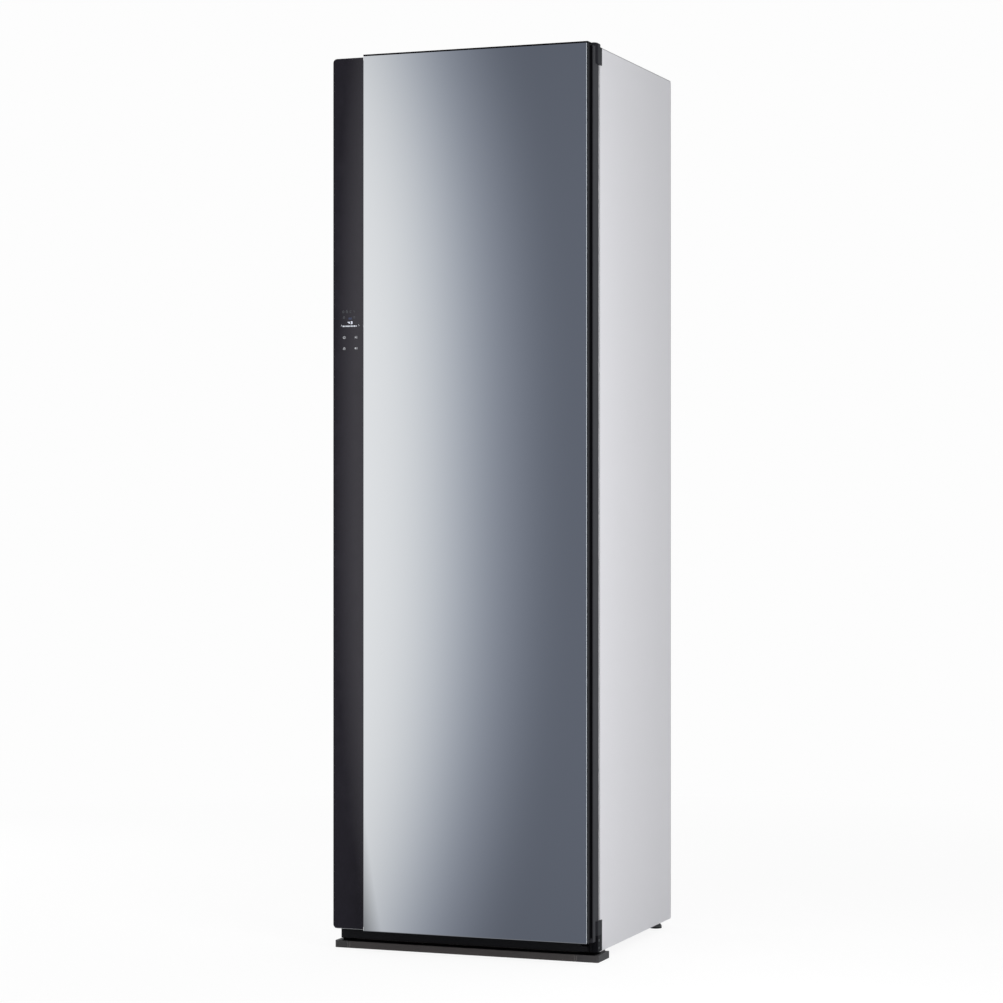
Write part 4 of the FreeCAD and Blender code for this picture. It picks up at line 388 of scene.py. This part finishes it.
def screw(shape, axis, centre, level, way, radius=3.2):
    """A domed screw head with a cross recess; way is the side that it faces."""
    rise = radius * HEAD_RISE
    arm_apart = HEAD_STEPS // 4
    rings = []
    for share, height in HEAD:
        ring = []
        for i in range(HEAD_STEPS):
            angle = 2 * math.pi * i / HEAD_STEPS
            in_arm = i % arm_apart in (0, 1, arm_apart - 1)
            lift = height if share > RECESS or in_arm else CROWN
            reach = radius * share
            spot = (centre[0] + reach * math.cos(angle), centre[1] + reach * math.sin(angle))
            ring.append(shape.verts.new(to_space(axis, *spot, level + way * rise * lift)))
        rings.append(ring)
    skin(shape, rings)
    shape.faces.new(rings[-1])


# ---------------------------------------------------------------- display and touch fields

STRIP_LOW, STRIP_HIGH = corners("control_strip")
GLASS_FRONT = STRIP_LOW[1]
PROUD = 0.06
SUNK = 0.05
PRINT = (GLASS_FRONT - PROUD, GLASS_FRONT + SUNK)
DISPLAY_X = STRIP_LOW[0] + 38.6
DISPLAY_Z = STRIP_LOW[2] + 1324.3
TOUCH_Z = DISPLAY_Z - 36.9
TOUCH_APART = (28.2, 24.0)
FINE = 0.7
DIGIT_WIDE = 3.3
DIGIT_HIGH = 4.6
DIGIT_APART = 6.5
DIGIT_STROKE = 1.25
DIGIT_RISE = 5.2
LEVEL_MARKS = (2.8, 1.6, 2.2, 3.4, 1.8, 2.6, 2.2, 3.0, 1.6)
LEVEL_START = -17.8
LEVEL_GAP = 1.5
LEVEL_HIGH = 2.9
TICK_REACH = 21.5
TICK_LEAN = 1.5
TICK_HIGH = 3.2
UPPER_ROW = 32.2
LOWER_ROW = 20.4
DASH_RISES = (15.6, 17.8)

SEGMENTS = {"a": ((0, 2), (1, 2)), "b": ((1, 2), (1, 1)), "c": ((1, 1), (1, 0)), "d": ((1, 0), (0, 0)),
            "e": ((0, 0), (0, 1)), "f": ((0, 1), (0, 2)), "g": ((0, 1), (1, 1))}
LIT_SEGMENTS = {"3": "abcdg", "4": "bcfg"}
SHOWN = "43"
ROUND_STEPS = 24
ROUND_STEP = 360 / ROUND_STEPS


def print_line(shape, *spots, width=FINE):
    """A printed line through the spots."""
    ribbon(shape, "y", spots, width, *PRINT)


def print_ring(shape, x, z, radius, first=0, last=360, width=FINE):
    """A printed circle, or the part of it between two angles in degrees."""
    closed = last - first >= 360
    spots = arc((x, z), radius, first, last - (ROUND_STEP if closed else 0), ROUND_STEPS - 1)
    ribbon(shape, "y", spots, width, *PRINT, closed=closed)


def print_dot(shape, x, z, radius):
    """A printed disc."""
    prism(shape, "y", arc((x, z), radius, 0, 360 - ROUND_STEP, ROUND_STEPS - 1), *PRINT)


def draw_digits(shape):
    """Two seven-segment digits in the middle of the display."""
    low = DISPLAY_Z + DIGIT_RISE
    for place, sign in enumerate(SHOWN):
        left = DISPLAY_X - DIGIT_APART / 2 - DIGIT_WIDE / 2 + place * DIGIT_APART
        for name in LIT_SEGMENTS[sign]:
            ends = [(left + u * DIGIT_WIDE, low + v * DIGIT_HIGH / 2) for u, v in SEGMENTS[name]]
            print_line(shape, *ends, width=DIGIT_STROKE)


def draw_levels(shape):
    """Short level marks of uneven length under the digits, with a fine tick at each end."""
    x = DISPLAY_X + LEVEL_START
    for length in LEVEL_MARKS:
        print_line(shape, (x, DISPLAY_Z), (x + length, DISPLAY_Z), width=LEVEL_HIGH)
        x += length + LEVEL_GAP
    for side in (-1, 1):
        foot = (DISPLAY_X + side * TICK_REACH, DISPLAY_Z)
        print_line(shape, foot, (DISPLAY_X + side * (TICK_REACH - TICK_LEAN), DISPLAY_Z + TICK_HIGH))


def draw_dim_icons(shape):
    """Faint status marks over the digits: a coat, a drop, a ring, a steam curl, a lock and a dial."""
    z = DISPLAY_Z + UPPER_ROW
    x = DISPLAY_X - 16.2
    print_line(shape, (x - 2.4, z), (x, z + 2.2), (x + 2.4, z))
    print_line(shape, (x - 1.5, z + 0.4), (x - 1.5, z - 2.6), (x + 1.5, z - 2.6), (x + 1.5, z + 0.4))
    x = DISPLAY_X - 7.8
    print_ring(shape, x, z - 0.8, 1.9)
    print_line(shape, (x - 1.6, z + 0.6), (x, z + 3.0), (x + 1.6, z + 0.6))
    print_ring(shape, DISPLAY_X + 1.2, z, 2.2, 40, 320)
    x = DISPLAY_X + 9.6
    print_line(shape, (x, z - 2.6), (x + 0.8, z - 0.9), (x - 0.8, z + 0.9), (x, z + 2.6))
    z = DISPLAY_Z + LOWER_ROW
    x = DISPLAY_X - 14.6
    print_line(shape, (x - 1.9, z), (x + 1.9, z), (x + 1.9, z - 3.0), (x - 1.9, z - 3.0), (x - 1.9, z))
    print_ring(shape, x, z, 1.3, 0, 180)
    print_ring(shape, DISPLAY_X + 9.6, z - 1.2, 2.0)


def draw_lit_icon(shape):
    """Two short lit dashes between the digits and the status marks."""
    for rise in DASH_RISES:
        z = DISPLAY_Z + rise
        print_line(shape, (DISPLAY_X - 3.6, z), (DISPLAY_X + 4.4, z), width=1.0)


def draw_touch(shape):
    """Four touch fields: power, start, light and lock."""
    left, right = (DISPLAY_X + side * TOUCH_APART[0] / 2 for side in (-1, 1))
    low, high = (TOUCH_Z + side * TOUCH_APART[1] / 2 for side in (-1, 1))
    print_ring(shape, left, high, 2.5, 115, 425, width=1.2)
    print_line(shape, (left, high + 0.4), (left, high + 3.0), width=1.1)
    prism(shape, "y", ((right - 2.6, high - 2.6), (right - 2.6, high + 2.6), (right + 0.8, high)), *PRINT)
    print_line(shape, (right + 2.0, high + 2.6), (right + 2.0, high - 2.6), width=1.3)
    print_ring(shape, left, low + 0.6, 1.8, 0, 180, width=0.8)
    print_line(shape, (left - 2.3, low + 0.4), (left - 2.3, low - 2.4), (left + 2.3, low - 2.4),
               (left + 2.3, low + 0.4), (left - 2.3, low + 0.4), width=0.8)
    print_dot(shape, right - 1.2, low, 2.1)
    print_ring(shape, right - 1.2, low, 4.1, -38, 38, width=1.0)


piece("display_digits", "door", DIGITS, draw_digits)
piece("display_marks", "door", ICONS, draw_dim_icons)
piece("display_lit_mark", "door", LIT_ICON, draw_lit_icon)
piece("display_level_row", "door", LEVELS, draw_levels)
piece("touch_marks", "door", TOUCH, draw_touch)

# ---------------------------------------------------------------- small fasteners and trim


SIDE_FACE = corners("side_panel_right")[1][0]
BRACKET_PLATE = 2.0
BRACKET_SCREW = 2.6
RIB_RISE = 1.2
FLANGE = 20
REAR_INSET = 8
REAR_SCREWS = 8
SCREW_INSET = 14
TOP_ENDS = 40


def draw_bracket_screws(shape):
    """Two screws in the side of the lower hinge bracket."""
    low = corners("hinge_bracket_bottom")[0]
    for rise in (8.5, 24.5):
        screw(shape, "x", (low[1] + 12.3, low[2] + rise), SIDE_FACE + BRACKET_PLATE, 1, BRACKET_SCREW)


def draw_rear_screws(shape):
    """Screws along the top and the sides of the rear sheet, just inside the side panels' flanges."""
    low, high = corners("rear_panel")
    foot, top = low[2] + SCREW_INSET, high[2] - SCREW_INSET
    sheet = high[1] - RIB_RISE
    edge = SIDE_FACE - FLANGE - REAR_INSET
    for x in (-edge / 2, 0, edge / 2):
        screw(shape, "y", (x, top), sheet, 1)
    for side in (-1, 1):
        for step in range(REAR_SCREWS):
            screw(shape, "y", (side * edge, foot + (top - foot) * step / (REAR_SCREWS - 1)), sheet, 1)


def draw_top_screws(shape):
    """Screws along the two long edges of the top panel."""
    low, high = corners("top_panel")
    for x in (low[0] + SCREW_INSET, high[0] - SCREW_INSET):
        for y in (low[1] + TOP_ENDS, (low[1] + high[1]) / 2, high[1] - TOP_ENDS):
            screw(shape, "z", (x, y), high[2], 1)


# Painted shade along the side panels' folded edges: its inset, the radius where it turns, its width and
# where it starts.
FOLD_INSET = 1
FOLD_RADIUS = 7
FOLD_WIDE = 1.7
FOLD_START = 14


def on_side(side, proud):
    """Levels of a thin trim on the outer face of a side panel; side is -1 for the left panel."""
    return sorted((side * (SIDE_FACE - 0.1), side * (SIDE_FACE + proud)))


def draw_panel_edge_shade(shape):
    """Narrow darker grey line along the top and the rear of each side panel: painted shade where the folded
    edge turns away from the light.
    """
    low, high = corners("side_panel_right")
    rear, top = high[1] - FOLD_INSET, high[2] - FOLD_INSET
    bend = arc((rear - FOLD_RADIUS, top - FOLD_RADIUS), FOLD_RADIUS, 90, 0, 6)
    path = [(low[1] + FOLD_START, top)] + bend + [(rear, low[2] + 2)]
    for side in (-1, 1):
        ribbon(shape, "x", path, FOLD_WIDE, *on_side(side, 0.08))


BAR_LOW, BAR_HIGH = corners("front_plinth")
PLINTH_JOINTS = ((corners("plinth_cap_left")[1][0], BAR_LOW[0]),
                 (BAR_HIGH[0], corners("plinth_cap_right")[0][0]))
LEDGE_DROP = 4.0
LEDGE = BAR_HIGH[2] - LEDGE_DROP
SKIRT_DEEP = 9
TONGUE_DEEP = 2
TRIM_GAP = 0.3
# Painted shade on the plinth's ledge: how far it stays in from the ends, and back from the front.
LEDGE_SHADE_INSET = 9
LEDGE_SHADE_SETBACK = 1.8
# Painted highlight beside each plinth joint: where it starts and ends, out from the joint's middle.
JOINT_HIGHLIGHT_START = 0.9
JOINT_HIGHLIGHT_END = 3.4


def draw_plinth_skirts(shape):
    """Skirts on the plinth's end caps that close the gap under the pan, and a tongue in each joint."""
    top = corners("kick_panel")[0][2] - 0.05
    rear = BAR_HIGH[1]
    side = SIDE_FACE - 0.7
    for start, end in ((-side, PLINTH_JOINTS[0][0]), (PLINTH_JOINTS[1][1], side)):
        prism(shape, "z", box_outline(start, rear - SKIRT_DEEP, end, rear - TRIM_GAP), LEDGE, top)
    for start, end in PLINTH_JOINTS:
        tongue = box_outline(start - 0.4, rear - TONGUE_DEEP, end + 0.4, rear - TRIM_GAP)
        prism(shape, "z", tongue, BAR_LOW[2] + TRIM_GAP, BAR_HIGH[2] - TRIM_GAP)


def draw_plinth_ledge_shade(shape):
    """Matt black strip on the plinth's ledge, from behind its front edge to under the kick panel: painted
    shade that darkens the ledge's top.
    """
    left = corners("plinth_cap_left")[0]
    right = corners("plinth_cap_right")[1]
    back = corners("kick_panel")[1][1] - 0.5
    strip = box_outline(left[0] + LEDGE_SHADE_INSET, left[1] + LEDGE_SHADE_SETBACK, right[0] - LEDGE_SHADE_INSET, back)
    prism(shape, "z", strip, LEDGE + 0.02, LEDGE + 0.4)


def draw_joint_highlights(shape):
    """Pale edge on each side of the two joints in the plinth's front: a painted highlight of the joints'
    chamfers.
    """
    for start, end in PLINTH_JOINTS:
        joint = (start + end) / 2
        for side in (-1, 1):
            near, far = sorted((joint + side * JOINT_HIGHLIGHT_START, joint + side * JOINT_HIGHLIGHT_END))
            joint_glint = box_outline(near, BAR_LOW[2] + 1, far, LEDGE - 1.6)
            prism(shape, "y", joint_glint, BAR_LOW[1] - 0.05, BAR_LOW[1] + 0.2)


CARRIER_WALL = 3.95
BEAD_DEEP = 1.6


def draw_carrier_bead(shape):
    """Black bead in the corner between the mirror's carrier and the door housing."""
    carrier = corners("mirror_carrier")
    housing = corners("door_housing")
    inner, outer = carrier[1][0] - CARRIER_WALL, housing[1][0] - 0.6
    section = box_outline(inner, carrier[0][2], outer, housing[1][2] - 1)
    prism(shape, "y", section, housing[0][1] - BEAD_DEEP, housing[0][1] - 0.05)


BORDER_WIDE = 2.4
BORDER_PROUD = 0.04
BORDER_BEVEL = 1.2
BORDER_LINE = 1.3


def draw_mirror_border(shape):
    """Black border down the mirror's hinge side, wrapped over its bevel."""
    low, high = corners("mirror_glass")
    front, side = low[1] - BORDER_PROUD, high[0] + BORDER_PROUD
    inner, back = side - BORDER_WIDE, front + BORDER_BEVEL + 1
    section = ((inner, front), (side - BORDER_BEVEL, front), (side, front + BORDER_BEVEL),
               (side, back), (inner, back))
    prism(shape, "z", section, low[2] + 0.2, high[2] - 0.2)


def draw_border_highlight(shape):
    """Ground line where the mirror's silver ends beside the border, pale as a painted highlight."""
    low, high = corners("mirror_glass")
    end = high[0] - BORDER_WIDE
    line = box_outline(end - BORDER_LINE, low[2] + 1.5, end, high[2] - 1.5)
    prism(shape, "y", line, low[1] - BORDER_PROUD * 0.8, low[1] + 0.2)


RIM_OUT = 1.9
RIM_IN = 22
RIM_RADIUS = 8.5
RIM_ENDS = 0.25


def draw_strip_rim(shape):
    """Black rim that stands out beside the free edge of the glass strip."""
    foot, top = STRIP_LOW[2] + RIM_ENDS, STRIP_HIGH[2] - RIM_ENDS
    outline = round_box(STRIP_LOW[0] - RIM_OUT, foot, STRIP_LOW[0] + RIM_IN, top, RIM_RADIUS, 8)
    prism(shape, "y", outline, GLASS_FRONT + 0.6, STRIP_HIGH[1] - 0.1)


# Width of the dark painted shade down the front edge of the side panels.
FRONT_SHADE_BEAD = 1.5


def draw_front_shade_beads(shape):
    """Dark bead down the front edge of each side panel, in the gap behind the door: painted shade of that
    gap.
    """
    low, high = corners("side_panel_right")
    bead = box_outline(low[1] - 0.03, low[2] + TRIM_GAP, low[1] + FRONT_SHADE_BEAD, high[2] - TRIM_GAP)
    for side in (-1, 1):
        prism(shape, "x", bead, *on_side(side, 0.06))


STRIP_CORNER = 8
# Height of the painted highlight along the foot of the glass strip.
EDGE_HIGHLIGHT_HIGH = 0.9


def draw_strip_edge_highlight(shape):
    """Fine lighter line along the foot of the glass strip: a painted highlight where its bottom edge catches
    the light.
    """
    foot = STRIP_LOW[2]
    line = box_outline(STRIP_LOW[0] + STRIP_CORNER, foot, STRIP_HIGH[0], foot + EDGE_HIGHLIGHT_HIGH)
    prism(shape, "y", line, GLASS_FRONT - 0.08, GLASS_FRONT + SUNK)


piece("bracket_screws", "cabinet", SCREW_STEEL, draw_bracket_screws, smooth=True)
piece("rear_screws", "cabinet", STEEL, draw_rear_screws, smooth=True)
piece("top_screws", "cabinet", WHITE_STEEL, draw_top_screws, smooth=True)
# Darker line on the side panels' folded edges, a painted shade.
piece("panel_edge_shade", "cabinet", EDGE_SHADE_COAT, draw_panel_edge_shade)
piece("plinth_skirts", "cabinet", BLACK_PLASTIC, draw_plinth_skirts)
# Black strip on the plinth's ledge, a painted shade.
piece("plinth_ledge_shade", "cabinet", BLACK_PLASTIC, draw_plinth_ledge_shade)
# Painted highlights beside the plinth's joints.
piece("plinth_joint_highlights", "cabinet", JOINT_HIGHLIGHT_PLASTIC, draw_joint_highlights)
piece("carrier_bead", "door", BLACK_PLASTIC, draw_carrier_bead)
# Lighter line under the glass strip, a painted highlight.
piece("strip_edge_highlight", "door", GREY_PLASTIC, draw_strip_edge_highlight)
piece("strip_rim", "door", COVER_PLASTIC, draw_strip_rim)
piece("mirror_border", "door", BLACK_PLASTIC, draw_mirror_border)
# Pale line beside the mirror's border, a painted highlight.
piece("mirror_border_highlight", "door", GROUND_EDGE_HIGHLIGHT, draw_border_highlight)
# Dark beads on the side panels' front edges, a painted shade of the door gap.
piece("front_edge_shade_beads", "cabinet", COVER_PLASTIC, draw_front_shade_beads)

# ---------------------------------------------------------------- door seal

SEAL = ((0, 0), (0, 1.1), (0.6, 1.8), (1.8, 2.3), (3.4, 2.6), (5.6, 2.65), (6.4, 2.1),
        (7.6, 2.1), (8.4, 2.65), (10.6, 2.6), (12.2, 2.3), (13.4, 1.8), (14, 1.1), (14, 0))
SEAL_RADIUS = 26


def draw_seal(shape):
    """The seal's ribbed section, (way in, height off the door), carried round the opening."""
    low, high = corners("door_gasket")
    rings = []
    for across, rise in SEAL:
        path = round_box(low[0] + across, low[2] + across, high[0] - across, high[2] - across,
                         SEAL_RADIUS - across, 8)
        rings.append([shape.verts.new((u, low[1] + rise, v)) for u, v in path])
    skin(shape, rings + rings[:1])


seal = piece("door_seal_lips", "door", RUBBER, draw_seal, smooth=True)
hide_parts("door_gasket")

# ---------------------------------------------------------------- sight windows of the tanks

WINDOW_WIDE = 11
WINDOW_HIGH = 128
WINDOW_INSET = 27
WINDOW_RISE = 96
SHOULDER = ((0, -0.02), (0, 0.5), (0.4, 0.9), (1.2, 1.1))
SCALE_STEPS = 8
SCALE_ENDS = 8
SCALE_GAP = 3
LONG_TICK = 9
SHORT_TICK = 5
TICK_WIDE = 1.1


def window_place(tank):
    """Middle of a tank's window across and up, and the level of the tank's front."""
    low, high = corners(tank)
    return high[0] - WINDOW_INSET, low[2] + WINDOW_RISE, low[1]


def draw_window(shape, tank):
    """Raised lens with rounded ends and a soft shoulder."""
    x, z, front = window_place(tank)
    rings = []
    for inset, rise in SHOULDER:
        wide, high = WINDOW_WIDE / 2 - inset, WINDOW_HIGH / 2 - inset
        outline = round_box(x - wide, z - high, x + wide, z + high, wide - 0.05, 8)
        rings.append([shape.verts.new((u, front - rise, v)) for u, v in outline])
    skin(shape, rings)
    shape.faces.new(rings[0])
    shape.faces.new(rings[-1])


def draw_scale(shape, tank):
    """Printed level ticks beside the window, every fourth one longer."""
    x, z, front = window_place(tank)
    end = x - WINDOW_WIDE / 2 - SCALE_GAP
    foot, reach = z - WINDOW_HIGH / 2 + SCALE_ENDS, WINDOW_HIGH - 2 * SCALE_ENDS
    for step in range(SCALE_STEPS + 1):
        tick = LONG_TICK if step % 4 == 0 else SHORT_TICK
        level = foot + reach * step / SCALE_STEPS
        ribbon(shape, "y", ((end - tick, level), (end, level)), TICK_WIDE, front - PROUD, front + SUNK)


for tank in ("supply", "drain"):
    node, body = f"{tank}_tank", f"{tank}_body"
    piece(f"{tank}_window", body, WINDOW, lambda shape: draw_window(shape, node), smooth=True)
    piece(f"{tank}_scale", body, PRINTED, lambda shape: draw_scale(shape, node))

# ---------------------------------------------------------------- filter cloth and feet


STRAND = 0.2
STRAND_PITCH = 2
WALL_INSET = 7.7
MESH_INSET = 18
MESH_FOOT = 6
MESH_TOP = 29


def draw_filter_mesh(shape):
    """Fine woven strands behind the slots of the filter's two long walls."""
    low, high = corners("lint_filter")
    left, right = low[0] + MESH_INSET, high[0] - MESH_INSET
    foot, top = low[2] + MESH_FOOT, low[2] + MESH_TOP
    for y in (low[1] + WALL_INSET, high[1] - WALL_INSET):
        for i in range(round((right - left) / STRAND_PITCH)):
            x = left + 1 + i * STRAND_PITCH
            prism(shape, "y", box_outline(x - STRAND, foot, x + STRAND, top), y - 0.15, y + 0.15)
        for i in range(round((top - foot + 1) / STRAND_PITCH)):
            z = foot + 0.5 + i * STRAND_PITCH
            prism(shape, "y", box_outline(left, z - STRAND, right, z + STRAND), y - STRAND, y + STRAND)


piece("filter_mesh", "filter_body", BLACK_PLASTIC, draw_filter_mesh)

SOLE_HIGH = 3.2
SOLE_LIP = 0.25

for body in ("front_left", "front_right", "rear_left", "rear_right"):
    low, high = corners(f"foot_{body}")
    centre = ((low[0] + high[0]) / 2, (low[1] + high[1]) / 2)
    wide = (high[0] - low[0]) / 2
    profile = ((0, 0), (wide - 0.8, 0), (wide + SOLE_LIP, 0.8), (wide + SOLE_LIP, SOLE_HIGH),
               (wide - 0.6, SOLE_HIGH), (wide - 0.6, SOLE_HIGH - 0.6), (0, SOLE_HIGH - 0.6))
    piece(f"sole_{body}", f"leveller_{body}", RUBBER,
          lambda shape: lathe(shape, "z", centre, profile), smooth=True)

# ---------------------------------------------------------------- stage, light and camera


def stage_mesh(name, verts, faces, finish):
    """A mesh of the studio, kept out of the part: it joins no body."""
    mesh = bpy.data.meshes.new(name)
    mesh.from_pydata(verts, [], faces)
    mesh.materials.append(finish)
    item = bpy.data.objects.new(name, mesh)
    scene.collection.objects.link(item)
    return item


def grey(level):
    """A neutral colour of one level."""
    return level, level, level, 1


PALE = grey(0.982)
FLOOR_NEAR = 1.2
FLOOR_FAR = 3.2


def floor_finish():
    """Pale floor that runs into the pale background away from the object and keeps its shadow near it."""
    tree = Tree("studio_floor")
    spot = tree.add("NewGeometry").outputs["Position"]
    reach = tree.add("VectorMath", {0: spot}, operation="LENGTH").outputs["Value"]
    fade = tree.spread(reach, 0.0, 1.0, FLOOR_NEAR, FLOOR_FAR)
    rays = tree.add("LightPath")
    plain = tree.add("BsdfDiffuse", {"Color": grey(0.74)}).outputs[0]
    catch = tree.add("AddShader", {
        0: tree.add("BsdfDiffuse", {"Color": grey(0.12)}).outputs[0],
        1: tree.add("Emission", {"Color": grey(0.888), "Strength": 1.0}).outputs[0]}).outputs[0]
    open_floor = tree.add("Emission", {"Color": PALE, "Strength": 1.0}).outputs[0]
    seen = tree.add("MixShader", {0: fade, 1: catch, 2: open_floor}).outputs[0]
    direct = tree.math("MAXIMUM", rays.outputs["Is Camera Ray"], rays.outputs["Is Transmission Ray"])
    return tree.finish(tree.add("MixShader", {0: direct, 1: plain, 2: seen}).outputs[0])


FLOOR_SIZE = 30
floor_spots = [(x, y, 0) for x, y in box_outline(-FLOOR_SIZE, -FLOOR_SIZE, FLOOR_SIZE, FLOOR_SIZE)]
floor = stage_mesh("studio_floor", floor_spots, [(0, 1, 2, 3)], floor_finish())
floor.visible_glossy = False

# The walls' brightness straight behind the object, and then, going round by its left, in degrees from
# straight ahead of it: where each smooth change begins and ends, and how much it adds.
REAR_LEVEL = 0.62
SOFT_BOX_EDGE = (-25.0, -18.7, -0.33)
SOFT_BOX_GLOW = (-23.4, -16.0, -0.344)
ROOM = ((-180, -110, 0.33), (-110, -60, -0.10), (-60, -32, -0.042), SOFT_BOX_EDGE, SOFT_BOX_GLOW,
        (-16, 6, 0.226), (6, 30, -0.06), (95, 130, 0.30), (130, 180, 0.02))
EYE_LEVEL = 1.13
BOW_REACH = 2.15
BOW_LIMIT = 1.2
BOW_POWER = 2.7
BOW_LEAN = 1.70
BOW_FADE = 0.10
WARMTH = 0.13
WARMTH_POWER = 1.2
COOLNESS = 0.33
COOLNESS_POWER = 1.9
POST_LEVEL = 0.26
POST_LEFT = (-34, -30)
POST_RIGHT = (-25.15, -24.42)
POST_LEAN = (0.95, 0.5)
POST_HEIGHTS = (0.6, 1.7)


def in_radians(pair):
    """A pair of angles in degrees, for the nodes that take radians."""
    return [math.radians(part) for part in pair]


def surround_finish():
    """Studio walls as polished surfaces see them, in a plain room: a bright soft box left of the middle that
    fades into a dark screen, with a dark post on its other side, all of them bowed away from eye level."""
    tree = Tree("studio_walls")
    spot = tree.add("SeparateXYZ", {0: tree.add("NewGeometry").outputs["Position"]})
    front = tree.math("MULTIPLY", spot.outputs["Y"], -1.0)
    angle = tree.math("ARCTAN2", spot.outputs["X"], front)
    off_level = tree.math("DIVIDE", tree.math("SUBTRACT", spot.outputs["Z"], EYE_LEVEL), BOW_REACH)
    height = tree.math("MINIMUM", tree.math("ABSOLUTE", off_level), BOW_LIMIT)
    bow = tree.math("POWER", height, BOW_POWER)
    leaning = tree.math("ADD", angle, tree.math("MULTIPLY", bow, math.radians(BOW_LEAN)))
    level = REAR_LEVEL
    for first, last, change in ROOM:
        step = tree.spread(leaning, 0.0, change, *in_radians((first, last)),
                           interpolation_type="SMOOTHERSTEP")
        level = tree.math("ADD", level, step)
    lack = tree.math("SUBTRACT", 1.0, level)
    less = tree.math("MULTIPLY", tree.math("POWER", lack, WARMTH_POWER), WARMTH)
    more = tree.math("MULTIPLY", tree.math("POWER", lack, COOLNESS_POWER), COOLNESS)
    red = tree.math("MULTIPLY", level, tree.math("SUBTRACT", 1.0, less))
    blue = tree.math("MULTIPLY", level, tree.math("ADD", 1.0, more))
    colour = tree.add("CombineColor", {0: red, 1: level, 2: blue}).outputs[0]
    lean = tree.spread(spot.outputs["Z"], *in_radians(POST_LEAN), *POST_HEIGHTS)
    post = tree.math("SUBTRACT", angle, tree.math("MULTIPLY", bow, lean))
    near = tree.spread(post, POST_LEVEL, 1.0, *in_radians(POST_RIGHT))
    far = tree.spread(angle, 1.0, 0.0, *in_radians(POST_LEFT))
    fade = tree.math("SUBTRACT", 1.0, tree.math("MULTIPLY", bow, BOW_FADE))
    strength = tree.math("MULTIPLY", tree.math("MAXIMUM", near, far), fade)
    return tree.finish(tree.add("Emission", {"Color": colour, "Strength": strength}).outputs[0])


RING = 96
REACH = 8.0
LIDS = (-9.0, 9.0)
ring_spots = arc((0, 0), REACH, 0, 360 * (RING - 1) / RING, RING - 1)
wall_spots = [(x, y, z) for z in LIDS for x, y in ring_spots]
wall_faces = [(i, (i + 1) % RING, RING + (i + 1) % RING, RING + i) for i in range(RING)]
walls = stage_mesh("studio_walls", wall_spots, wall_faces, surround_finish())


def lid_finish():
    """Dim grey above and below the walls, for polished surfaces alone."""
    tree = Tree("studio_lids")
    return tree.finish(tree.add("Emission", {"Color": (0.20, 0.21, 0.23, 1), "Strength": 1.0}).outputs[0])


lids = stage_mesh("studio_lids", wall_spots, [tuple(range(RING)), tuple(range(RING, 2 * RING))],
                  lid_finish())
for item in (walls, lids):
    for ray in ("camera", "diffuse", "shadow", "transmission", "volume_scatter"):
        setattr(item, f"visible_{ray}", False)

AIR_LIGHT = 0.395


def air_finish():
    """Pale background for the camera and for polished and clear surfaces, and an even light on all else."""
    tree = Tree("studio_air", bpy.data.worlds)
    rays = tree.add("LightPath").outputs
    mirrored = tree.math("MAXIMUM", rays["Is Camera Ray"], rays["Is Glossy Ray"])
    seen = tree.math("MAXIMUM", mirrored, rays["Is Transmission Ray"])
    light = tree.add("Background", {"Color": (1, 1, 1, 1), "Strength": AIR_LIGHT}).outputs[0]
    pale = tree.add("Background", {"Color": PALE}).outputs[0]
    return tree.finish(tree.add("MixShader", {0: seen, 1: light, 2: pale}).outputs[0], "OutputWorld")


scene.world = air_finish()


def lamp(name, spot, target, size, power):
    """A soft rectangular lamp that faces its target and isn't itself seen."""
    light = bpy.data.lights.new(name, "AREA")
    light.shape = "RECTANGLE"
    light.size, light.size_y = size
    light.energy = power
    item = bpy.data.objects.new(name, light)
    scene.collection.objects.link(item)
    item.location = spot
    way = [b - a for a, b in zip(spot, target)]
    tilt = math.atan2(math.hypot(way[0], way[1]), -way[2])
    item.rotation_euler = (tilt, 0, math.atan2(way[1], way[0]) - math.pi / 2)
    item.visible_camera = False
    item.visible_glossy = False


lamp("key", (1.1, -1.12, 1.12), (0.3, 0.0, 1.0), (0.7, 2.3), 17.4)
lamp("front_fill", (-1.6, -3.2, 1.8), (0, -0.2, 1.0), (2.0, 2.4), 30)
lamp("top_fill", (0.2, 0.2, 4.2), (0, 0, 1.9), (2.5, 2.5), 27)
lamp("left_fill", (-2.6, 0.9, 1.3), (-0.3, 0.1, 1.0), (1.2, 2.4), 20)

CAMERA_SPOT = (2.19293, -5.86675, 0.98052)
CAMERA_TURN = 20.557
CAMERA_LENS = 99.707
CAMERA_RISE = 0.002079

camera_data = bpy.data.cameras.new("studio_camera")
camera_data.sensor_fit = "HORIZONTAL"
camera_data.sensor_width = 36
camera_data.lens = CAMERA_LENS
camera_data.shift_y = CAMERA_RISE
camera_data.clip_end = 100
camera = bpy.data.objects.new("studio_camera", camera_data)
scene.collection.objects.link(camera)
camera.location = CAMERA_SPOT
camera.rotation_euler = (math.pi / 2, 0, math.radians(CAMERA_TURN))
scene.camera = camera
scene.view_settings.view_transform = "Standard"
